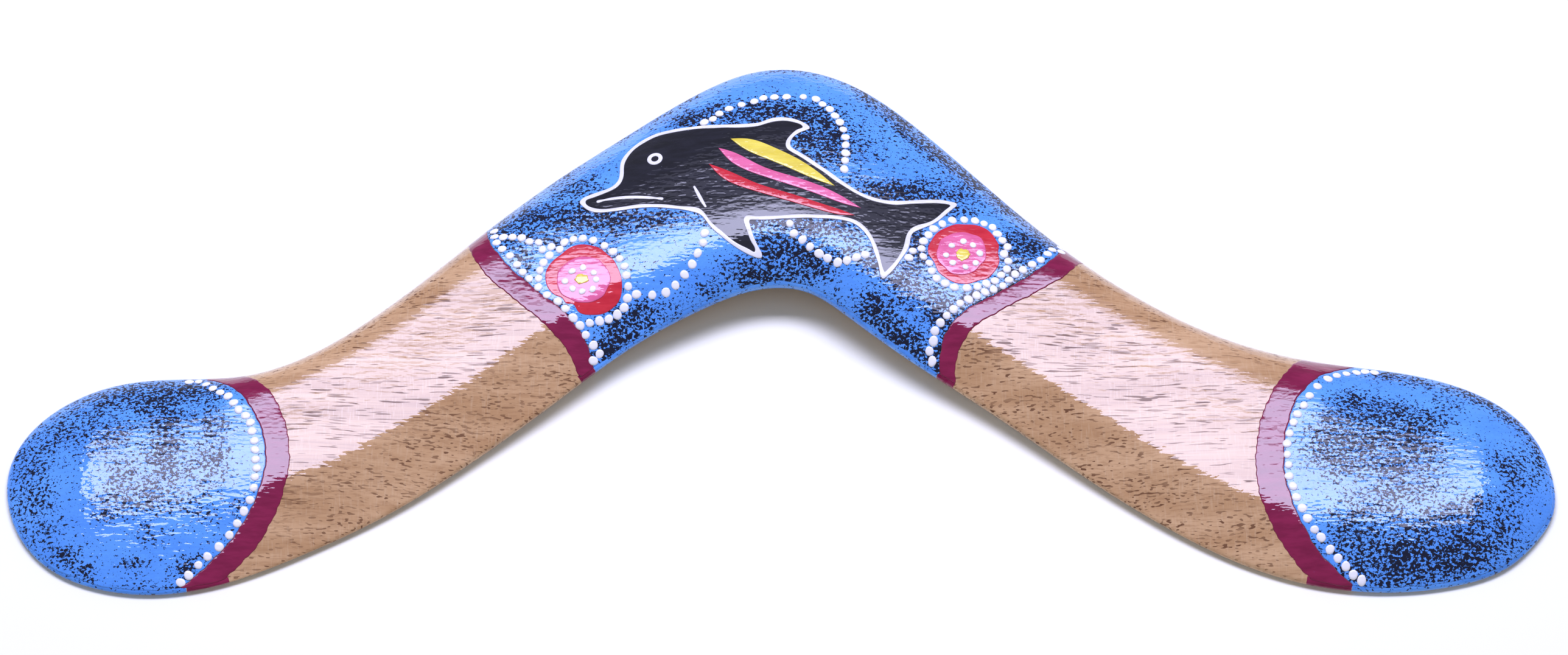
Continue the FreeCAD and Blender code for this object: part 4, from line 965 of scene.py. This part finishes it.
WOOD = wood_material()
BLUE = blue_material()
BURG = enamel("burgundy_enamel", *BURG_TONES, patch=((0.07, 0.20, 0.55), 0.74))
WHITE = enamel("white_drops", (0.90, 0.89, 0.90), (0.97, 0.96, 0.97), streak=0.012)
LINE = enamel("white_line", (0.80, 0.79, 0.84), (0.90, 0.89, 0.93), streak=0.02, patch=((0.45, 0.47, 0.62), 0.73))
RED = enamel("red_enamel", (0.56, 0.016, 0.035), (0.68, 0.032, 0.052), patch=((0.75, 0.20, 0.26), 0.74))
PINK = enamel("pink_enamel", (0.72, 0.110, 0.270), (0.86, 0.175, 0.370), patch=((0.80, 0.42, 0.55), 0.72))
YELLOW = enamel("yellow_enamel", (0.76, 0.60, 0.060), (0.90, 0.76, 0.110), patch=((0.55, 0.42, 0.10), 0.74))
BLACK = enamel("black_enamel", (0.008, 0.008, 0.013), (0.016, 0.016, 0.026), patch=((0.12, 0.13, 0.20), 0.715))

# ------------------------------------------------------------------ the carved blade
NRIB = 421
RAYS = []
_k = np.linspace(0, NR - 1, NRIB).round().astype(int)
for i in _k:
    RAYS.append((RM[i], RM[i] + RU[i] * RB[i], RK[i], len(RAYS), "b"))
_fanl, _fanr = [], []
FN = 46


def fan_rays(side, end):
    turn, d, reach = FAN[side]
    pick = np.linspace(0, NF - 1, FN).round().astype(int)[1:-1]
    return [(RM[end], RM[end] + d[i] * reach[i], RK[end], None, "f") for i in pick]


loop = list(RAYS)
loop += fan_rays(1, NR - 1)
front = [(RM[i], RM[i] - RU[i] * RF[i], RK[i], j, "a") for j, i in enumerate(_k)]
loop += front[::-1]
loop += fan_rays(-1, 0)[::-1]
cen = np.array([r[0] for r in loop])
edge_pt = np.array([r[1] for r in loop])
rk = np.array([r[2] for r in loop])
cidx = []
for r in loop:
    if r[3] is not None:
        cidx.append(r[3])
    else:
        cidx.append(NRIB - 1 if r[2] > 1 else 0)
cidx = np.array(cidx)
NL = len(loop)
reach = np.hypot(*(edge_pt - cen).T)
unit = (edge_pt - cen) / reach[:, None]
inset_a = 0.9
rows_xyz = []
# top, from just off the crown line to the shoulder of the rim
tA = 1 - inset_a / reach
TT = np.linspace(0, 1, 27)[1:] ** 0.85
for t in TT:
    p = cen + unit * (reach * tA * t)[:, None]
    rows_xyz.append(np.column_stack([p, height(p)]))
TOP_ROWS = len(TT)
shoulder = rows_xyz[-1]
prev = cen + unit * (reach * tA - 0.6)[:, None]
slope = (shoulder[:, 2] - height(prev)) / 0.6
lift = arch(edge_pt[:, 0])
rim_low = section("rim", rk)
wz = np.minimum(rim_low + lift + 0.42, shoulder[:, 2] - 0.45)
wob = 0.10 * np.sin(np.arange(NL) * 2 * math.pi * 9 / NL) + 0.07 * np.sin(np.arange(NL) * 2 * math.pi * 23 / NL + 1.3)
wz = np.maximum(wz + wob, 0.45)


def bez(p0, p1, p2, p3, t):
    return (1 - t) ** 3 * p0 + 3 * (1 - t) ** 2 * t * p1 + 3 * (1 - t) * t ** 2 * p2 + t ** 3 * p3


def row_from(off, z):
    p = cen + unit * (reach + off)[:, None]
    return np.column_stack([p, z])


for t in (0.2, 0.4, 0.6, 0.8, 1.0):
    off = bez(-inset_a, -inset_a + 0.36, 0.0, 0.0, t)
    z = bez(shoulder[:, 2], shoulder[:, 2] + slope * 0.36, wz + 0.42 * (shoulder[:, 2] - wz), wz, t)
    rows_xyz.append(row_from(np.full(NL, off), z))
flat_at = np.interp(rim_low, [0.6, 3.4], [0.90, 0.80])
deep = reach * (1 - flat_at)
def belly(x):
    """Underside: flat on the table, bowed clear of it under the elbow."""
    b = arch(x) - 0.6
    return np.where(b > 0.3, b, 0.3 * np.exp(np.minimum(b - 0.3, 0) / 0.3)) - 0.3 * np.exp(-0.9 / 0.3)


bz = np.maximum(belly(edge_pt[:, 0]), 0)
for t in (0.15, 0.3, 0.45, 0.6, 0.8, 1.0):
    off = bez(0.0, 0.0, -deep * 0.42, -deep, t)
    pp = cen + unit * (reach + off)[:, None]
    bz = np.maximum(belly(pp[:, 0]), 0)
    z = bez(wz, bz + (wz - bz) * 0.45, bz, bz, t)
    rows_xyz.append(row_from(off, z))
for s in (0.72, 0.45, 0.2):
    p = cen + unit * (reach * flat_at * s)[:, None]
    rows_xyz.append(np.column_stack([p, np.maximum(belly(p[:, 0]), 0)]))
rows = np.array(rows_xyz)
nrows = len(rows)
mid = np.array([r[0] for r in RAYS])
verts = np.vstack([np.column_stack([mid, height(mid)]), rows.reshape(-1, 3), np.column_stack([mid, np.maximum(belly(mid[:, 0]), 0)])])
first = len(mid)
last = first + nrows * NL
faces = []
for i in range(NL):
    j = (i + 1) % NL
    a, b = first + i, first + j
    if cidx[i] == cidx[j]:
        faces.append((cidx[i], a, b))
    else:
        faces.append((cidx[i], a, b, cidx[j]))
    for r in range(nrows - 1):
        o = first + r * NL
        faces.append((o + i, o + NL + i, o + NL + j, o + j))
    a, b = first + (nrows - 1) * NL + i, first + (nrows - 1) * NL + j
    if cidx[i] == cidx[j]:
        faces.append((a, last + cidx[i], b))
    else:
        faces.append((a, last + cidx[i], last + cidx[j], b))
# the loop runs back edge left to right, so the outside is to its left: flip to face out
faces = [f[::-1] for f in faces]
blade = make_mesh("carved_blade", verts, faces, WOOD, ["blade"])

# ------------------------------------------------------------------ painted fields
INSET = OUT + normals(OUT) * MARGIN
_w = np.zeros(len(INSET))
for _ in range(26):
    _w += RNG.uniform(0.01, 0.045) * np.sin(np.arange(len(INSET)) * 2 * math.pi * RNG.integers(6, 150) / len(INSET) + RNG.uniform(0, 6.28))
INSET = INSET + normals(INSET) * _w[:, None]


def wobbled(points, amp=0.12):
    """A hand-painted border: the spline with a slow and a fine waver."""
    p = spline(points, False, step=0.5)
    d = np.gradient(p, axis=0)
    d /= np.hypot(*d.T)[:, None]
    nn = np.stack([-d[:, 1], d[:, 0]], 1)
    s = np.arange(len(p)) * 0.5
    w = sum(RNG.uniform(0.4, 1.0) * amp * np.sin(2 * math.pi * s / lam + RNG.uniform(0, 6.28)) for lam in (23, 11, 5.3, 2.6))
    return p + nn * w[:, None]


BORDER = {k: wobbled(v) for k, v in (
    ("lt_out", LEFT_TIP_OUTER), ("lt_in", LEFT_TIP_INNER), ("li_out", LEFT_INNER_OUTER), ("li_in", LEFT_INNER_INNER),
    ("ri_in", RIGHT_INNER_INNER), ("ri_out", RIGHT_INNER_OUTER), ("rt_in", RIGHT_TIP_INNER), ("rt_out", RIGHT_TIP_OUTER))}


def clip(border):
    """The part of a border inside the inset outline, and where it meets the outline."""
    ins = inside(border, INSET)
    k = np.where(ins)[0]
    p = border[k[0]:k[-1] + 1]

    def meet(a, b):
        e0, e1 = INSET, np.roll(INSET, -1, axis=0)
        d, e = b - a, e1 - e0
        den = d[0] * e[:, 1] - d[1] * e[:, 0]
        w = e0 - a
        t = (w[:, 0] * e[:, 1] - w[:, 1] * e[:, 0]) / den
        u = (w[:, 0] * d[1] - w[:, 1] * d[0]) / den
        ok = np.where((t >= -1e-9) & (t <= 1 + 1e-9) & (u >= 0) & (u < 1))[0]
        i = ok[0]
        return i, a + d * t[i]
    i0, q0 = meet(border[k[0] - 1], border[k[0]])
    i1, q1 = meet(border[k[-1]], border[k[-1] + 1])
    return i0, i1, np.vstack([q0, p, q1])


def walk(i, j):
    """Inset outline points after i up to j, counter-clockwise."""
    n = len(INSET)
    m = (j - i) % n
    return INSET[(i + 1 + np.arange(m)) % n]


CL = {k: clip(v) for k, v in BORDER.items()}


def strip(a, b):
    a0, a1, ap = CL[a]
    b0, b1, bp = CL[b]
    return np.vstack([ap, walk(a1, b1), bp[::-1], walk(b0, a0)])


def left_end(a):
    a0, a1, ap = CL[a]
    return np.vstack([walk(a0, a1), ap[::-1]])


def right_end(a):
    a0, a1, ap = CL[a]
    return np.vstack([ap, walk(a1, a0)])


# the rim of the blade takes the paint of the zone above it; its lowest edge stays bare
_near = edge_pt - unit * 1.6
_zone = {"rim_blue": [left_end("lt_out"), strip("li_in", "ri_in"), right_end("rt_out")],
         "rim_burgundy": [strip("lt_out", "lt_in"), strip("li_out", "li_in"), strip("ri_in", "ri_out"), strip("rt_in", "rt_out")]}
_row = np.zeros(nrows)
_row[TOP_ROWS - 1:TOP_ROWS + 5] = 1.0
_row[TOP_ROWS + 5:TOP_ROWS + 8] = (0.95, 0.62, 0.10)
# the lowest rim rows carry the pale line, a painted reflection of the white floor on the bare edge
_low = np.zeros(nrows)
_low[TOP_ROWS + 6:TOP_ROWS + 10] = (0.5, 1.0, 1.0, 0.6)
for _key, _loops in _zone.items():
    _in = np.zeros(NL)
    for _loop in _loops:
        _in = np.maximum(_in, inside(_near, _loop).astype(float))
    _val = np.concatenate([np.zeros(len(mid)), (_row[:, None] * _in[None, :]).ravel(), np.zeros(len(mid))])
    blade.data.attributes.new(_key, "FLOAT", "POINT").data.foreach_set("value", _val.astype(np.float32))
_val = np.concatenate([np.zeros(len(mid)), np.repeat(_low, NL), np.zeros(len(mid))])
blade.data.attributes.new("painted_floor_reflection", "FLOAT", "POINT").data.foreach_set("value", _val.astype(np.float32))


def gauss(p, x, y, sx, sy, rot=0.0):
    c, s = math.cos(math.radians(rot)), math.sin(math.radians(rot))
    dx, dy = p[:, 0] - x, p[:, 1] - y
    u, v = dx * c + dy * s, -dx * s + dy * c
    return np.exp(-0.5 * ((u / sx) ** 2 + (v / sy) ** 2))


# How densely the black sponge print covers each blue field (0 none, 1 nearly solid):
# soft patches given as centre, half-widths along and across, turn in degrees, strength.
PRINT_LEFT = [
    (-170, -21, 12, 4, 0, .75), (-158, -21, 8, 4, 0, .85), (-152, -18, 4, 3, 0, .75), (-160, -28, 4, 5, 0, .65),
    (-148, -24, 4, 4, 0, .35), (-176, -30, 8, 5, 0, .50), (-185, -22, 6, 4, 0, .28), (-192, -33, 5, 8, 0, .36),
    (-196, -43, 3, 9, 0, .32), (-192, -51, 5, 8, 0, .42), (-190, -61, 5, 5, 0, .32), (-186, -37, 5, 4, 0, .24),
    (-178, -38, 5, 4, 0, .35), (-147, -34, 3.2, 5, 0, .90), (-159, -37, 3.2, 6, 0, .95), (-172, -37, 4, 3, 0, .60),
    (-159, -46, 4.5, 5, 0, .85), (-170, -47, 4, 4, 0, .70), (-147, -45, 4, 4.5, 0, .75), (-168, -54, 5, 2.6, 0, .85),
    (-159, -56, 6, 2.2, 0, .75), (-149, -53, 3, 3, 0, .40), (-162, -64, 2.6, 3, 0, .55), (-173, -59, 2, 1.4, 0, .60),
    (-148, -59, 3, 1.2, 0, .60), (-183, -69, 3, 2, 0, .90), (-178, -74, 4, 1.5, -40, .70), (-166, -72, 2.5, 1.5, 0, .60),
    (-151, -72, 3, 2, 0, .70), (-156, -77.5, 2, 1, 0, .90), (-165, -78, 3, 1, 0, .50), (-139, -58, 1.5, 3, 0, .60),
    (-152, -76, 2, 2.5, 0, .5),
]
PRINT_CENTRE = [
    (-9, 59, 12, 3.8, 0, .95), (5, 56, 7, 4.5, 0, .75), (-24, 59.5, 4, 2, 0, .75), (11, 50, 5, 5, 0, .55),
    (13, 44, 4, 3, 0, .40), (21, 50, 8, 7, 0, .22), (5, 47, 3, 4, 0, .55), (32, 34.5, 9, 2.6, 0, 1.15),
    (27, 67, 6, 3, -40, .75), (38, 56, 9, 3.5, -42, .60), (50, 46, 9, 3.5, -42, .70), (62, 36, 8, 3, -42, .50),
    (72, 27, 6, 3, -45, .55), (62, 16, 3.5, 7, 0, .80), (67, 21, 6, 3, 25, .65), (59, 8, 5, 2, 30, .85),
    (51, 3, 5, 1.8, 30, .85), (43, -3, 3, 3, 40, .70), (-61, 30, 8, 4, 0, .48), (-48, 27, 8, 2.8, 0, .72),
    (-34, 26, 8, 2.4, 0, .60), (-71, 30, 5, 5, 0, .35), (-55, 38, 5, 3, 0, .50), (-57, 45, 6, 4, 0, .20),
    (-60, 48, 10, 2.5, 42, .40), (-40, 61, 9, 2.2, 34, .40), (-29, 67, 7, 2, 33, .35), (-68, 16, 3, 5, 20, .40),
    (-63, 22, 6, 1.8, -15, .55), (-60, 1, 2, 4, 50, .45), (-42, -3, 5, 3.6, 0, .70), (-44, -9, 4, 2.2, 30, 1.1),
    (-35, -1, 4, 3.5, 20, .30), (-27, 1, 3, 2, 20, .22), (-18, 6, 3, 1.8, 10, .38), (-46, 18, 4, 3, 0, .35),
    (-9, 11.5, 4.5, 2.2, 0, .62), (0, 17, 6, 2.8, 0, .95), (5, 14, 5, 3, 0, .50), (-2, 9.5, 6, 1.4, 0, .50),
    (12, 12, 4, 3, 0, .38), (12, 3, 3, 2.5, 0, .30), (23, 0, 3, 3, -40, .50), (30, -6, 6, 3.4, -42, .85),
    (37, -13, 3, 2.6, -45, .70), (34, 21, 3.6, 3, 0, .95), (37, 15, 2.6, 3, 0, .80), (30, 10, 4, 3, -30, .60),
    (22, 14, 5, 2.4, -20, .65), (34, 5, 5, 4, -30, .50), (41, 0, 2.6, 4, 0, .60), (41, -12, 1.4, 5, 0, .75),
    (9, 23, 11, 2.0, -8, 1.05), (-13, 24, 6, 1.8, 0, .95), (0, 78, 12, 1.4, 0, .35), (18, 74, 6, 1.5, -30, .35),
    (47, 37, 10, 4, -30, .22), (47, 30, 4, 2, 0, .40), (-74, 24, 3, 4, 20, .30), (-80, 30, 3, 4, 20, .35),
]
PRINT_RIGHT = [
    (152, -73, 8, 4, 0, .95), (165, -72, 9, 4.5, 0, .85), (176, -69, 7, 4, 0, .65), (160, -65, 10, 4, 0, .50),
    (145, -64, 5, 4, 0, .55), (181, -64, 6, 4, 0, .45), (187, -58, 4, 5, 0, .38), (146, -36, 7, 6, 0, .90),
    (162, -36, 7, 6, 0, .92), (150, -26, 5, 3, 0, .62), (163, -29, 5, 2, 0, .60), (154, -45, 11, 3.5, 0, .72),
    (160, -53, 10, 3, 0, .62), (150, -58, 6, 2.4, 0, .48), (190, -46, 4, 5.5, 0, .58), (196, -38, 2, 6, 0, .60),
    (184, -44, 2, 2.4, 0, .75), (193, -30, 3, 3, 0, .50), (188, -25, 6, 2.4, -35, .95), (178, -19, 5, 2.3, -25, .75),
    (163, -15.5, 5, 1.9, -15, .80), (157, -14, 4, 2, 0, .40), (174, -24, 4, 3, 0, .25), (176, -57.5, 5, 1.8, 20, .90),
    (168, -60, 5, 1.5, 10, .50), (140, -42, 5, 3, 0, .45),
]


def field(p, base, blobs):
    d = np.full(len(p), float(base))
    for x, y, sx, sy, rot, amp in blobs:
        d += amp * gauss(p, x, y, sx * 0.88, sy * 0.88, rot)
    return np.clip(d, 0, 2.2)


def speck_left(p):
    return field(p, 0.10, PRINT_LEFT)


def speck_centre(p):
    return field(p, 0.10, [(*b[:5], b[5] * 1.75) for b in PRINT_CENTRE])


def speck_right(p):
    return field(p, 0.09, [(*b[:5], b[5] * 1.25) for b in PRINT_RIGHT])


film("paint_blue_left_tip", [left_end("lt_out")], 0.0, FILM, BLUE, attrs={"speck": speck_left})
film("paint_blue_centre", [strip("li_in", "ri_in")], 0.0, FILM, BLUE, attrs={"speck": speck_centre})
film("paint_blue_right_tip", [right_end("rt_out")], 0.0, FILM, BLUE, attrs={"speck": speck_right})
film("band_left_tip", [strip("lt_out", "lt_in")], 0.0, FILM + 0.03, BURG, spacing=1.0)
film("band_left_inner", [strip("li_out", "li_in")], 0.0, FILM + 0.03, BURG, spacing=1.0)
film("band_right_inner", [strip("ri_in", "ri_out")], 0.0, FILM + 0.03, BURG, spacing=1.0)
film("band_right_tip", [strip("rt_in", "rt_out")], 0.0, FILM + 0.03, BURG, spacing=1.0)

# rosettes: red disc, pink disc on it, yellow centre on that
def wavy(loop, amp, waves=(3, 5, 7, 11)):
    p = spline(loop, True, step=0.3)
    n = len(p)
    w = sum(amp * RNG.uniform(0.3, 1.0) * np.sin(np.arange(n) * 2 * math.pi * k / n + RNG.uniform(0, 6.28)) for k in waves)
    return p + normals(p) * w[:, None]


for side in ("left", "right"):
    for colour, mat, base in (("red", RED, FILM), ("pink", PINK, 2 * FILM), ("yellow", YELLOW, 3 * FILM)):
        name = "rosette_%s_%s" % (side, colour)
        film(name, [wavy(DISCS[name], 0.05 if colour == "red" else 0.14)], base - 0.01, 0.12, mat,
             spacing=0.8, edge=0.35, lip=0.22)
for name, centres in PETAL_ROWS.items():
    blob_dots(name, centres, 0.95, 3 * FILM - 0.04, WHITE, tall=0.30)
for name, centres in DOT_ROWS.items():
    blob_dots(name, centres, 1.20, FILM - 0.01, WHITE)

# motif: black silhouette, white edge line, three flank stripes and a plain eye
film("motif_black", [spline(MOTIF_OUTER, True, step=0.3)], FILM - 0.01, 0.10, BLACK, spacing=1.0, edge=0.4, lip=0.2)


def ring_loop(points, amp):
    return wavy(points, amp, (9, 17, 31, 43))


def stroke_loop(points):
    return spline(points, True, step=0.2)


base3 = 2 * FILM - 0.05
film("motif_edge_line", [ring_loop(MOTIF_OUTER, 0.05), ring_loop(MOTIF_INNER, 0.07)], base3, 0.16, LINE,
     spacing=0.6, edge=0.28, lip=0.22, nodes=["motif_white"])
film("motif_mouth_stroke", [stroke_loop(MOUTH)], base3, 0.15, LINE, spacing=0.5, edge=0.2, lip=0.18, nodes=["motif_white"])
film("motif_flipper_stroke", [stroke_loop(FLIPPER)], base3, 0.15, LINE, spacing=0.5, edge=0.2, lip=0.18, nodes=["motif_white"])
for name, mat in (("motif_stripe_yellow", YELLOW), ("motif_stripe_pink", PINK), ("motif_stripe_red", RED)):
    up, dn = STRIPES[name]
    lp = np.vstack([spline(up, False, step=0.3), spline(dn, False, step=0.3)[::-1][1:-1]])
    film(name, [lp], base3, 0.13, mat, spacing=0.8, edge=0.3, lip=0.2)


def circle(c, r, n=40, squash=1.0):
    t = np.linspace(0, 2 * math.pi, n, endpoint=False)
    return np.stack([c[0] + r * np.cos(t), c[1] + r * squash * np.sin(t)], 1)


film("motif_eye", [circle(EYE, 2.1), circle(EYE, 0.95)], base3, 0.15, LINE, spacing=0.5, edge=0.25, lip=0.2)

# ------------------------------------------------------------------ floor, light and camera
def stage_plane(name, corners, material):
    mesh = bpy.data.meshes.new(name)
    mesh.from_pydata([tuple(c) for c in corners], [], [tuple(range(len(corners)))])
    mesh.materials.append(material)
    obj = bpy.data.objects.new(name, mesh)
    bpy.context.scene.collection.objects.link(obj)
    return obj


floor_mat = Nodes("white_floor")
floor_mat.put(floor_mat.bsdf.inputs["Base Color"], (1.0, 1.0, 0.86))
floor_mat.put(floor_mat.bsdf.inputs["Roughness"], 0.9)
floor_mat.bsdf.inputs["Specular IOR Level"].default_value = 0.0
FLOOR_Z = float(LO[2]) * MM - 0.0002
stage_plane("floor", [(-6, -6, FLOOR_Z), (6, -6, FLOOR_Z), (6, 6, FLOOR_Z), (-6, 6, FLOOR_Z)], floor_mat.mat)

SUBJECT = Vector((float(CENTRE[0]) * MM, float(CENTRE[1]) * MM, 0.0))


def area_light(name, elev, azim, dist, width, high, power, colour=(1, 1, 1)):
    """A soft box: elevation and azimuth (0 = behind, towards +Y) of its centre, facing the subject."""
    e, a = math.radians(elev), math.radians(azim)
    pos = SUBJECT + Vector((math.sin(a) * math.cos(e), math.cos(a) * math.cos(e), math.sin(e))) * dist
    data = bpy.data.lights.new(name, "AREA")
    data.shape = "RECTANGLE"
    data.size, data.size_y = width, high
    data.energy = power
    data.color = colour
    obj = bpy.data.objects.new(name, data)
    obj.location = pos
    obj.rotation_euler = (SUBJECT - pos).to_track_quat("-Z", "Y").to_euler()
    bpy.context.scene.collection.objects.link(obj)
    return obj


# one large soft box whose light falls off towards its lower edge
area_light("key_softbox", 71.75, 0, 1.2, 1.12, 0.369, 12.9, (0.93, 0.93, 1.34))
area_light("key_falloff", 60.75, 0, 1.2, 1.12, 0.094, 1.85, (0.93, 0.93, 1.34))
area_light("key_skirt", 55.25, 0, 1.2, 1.12, 0.136, 0.29, (0.93, 0.93, 1.34))

world = bpy.data.worlds.new("studio")
world.use_nodes = True
_w = world.node_tree
_fill = _w.nodes["Background"]
_fill.inputs[0].default_value = (0.94, 0.96, 1.08, 1)
_fill.inputs[1].default_value = 0.29
_seen = _w.nodes.new("ShaderNodeBackground")
_seen.inputs[0].default_value = (0.93, 0.94, 0.95, 1)
_path = _w.nodes.new("ShaderNodeLightPath")
_pick = _w.nodes.new("ShaderNodeMixShader")
_w.links.new(_path.outputs["Is Camera Ray"], _pick.inputs[0])
_w.links.new(_fill.outputs[0], _pick.inputs[1])
_w.links.new(_seen.outputs[0], _pick.inputs[2])
_w.links.new(_pick.outputs[0], _w.nodes["World Output"].inputs[0])
bpy.context.scene.world = world

cam_data = bpy.data.cameras.new("photo_camera")
cam_data.sensor_fit = "HORIZONTAL"
cam_data.sensor_width = 36.0
cam_data.lens = 106.77
cam_data.clip_start, cam_data.clip_end = 0.05, 30
cam = bpy.data.objects.new("photo_camera", cam_data)
cam.location = (0.000830, -0.66808, 1.03282)
aim = Vector((0.000830, 0.002639, 0.0))
cam.rotation_euler = (aim - Vector(cam.location)).to_track_quat("-Z", "Y").to_euler()
bpy.context.scene.collection.objects.link(cam)
bpy.context.scene.camera = cam
bpy.context.scene.view_settings.view_transform = "Standard"
bpy.context.scene.view_settings.look = "None"
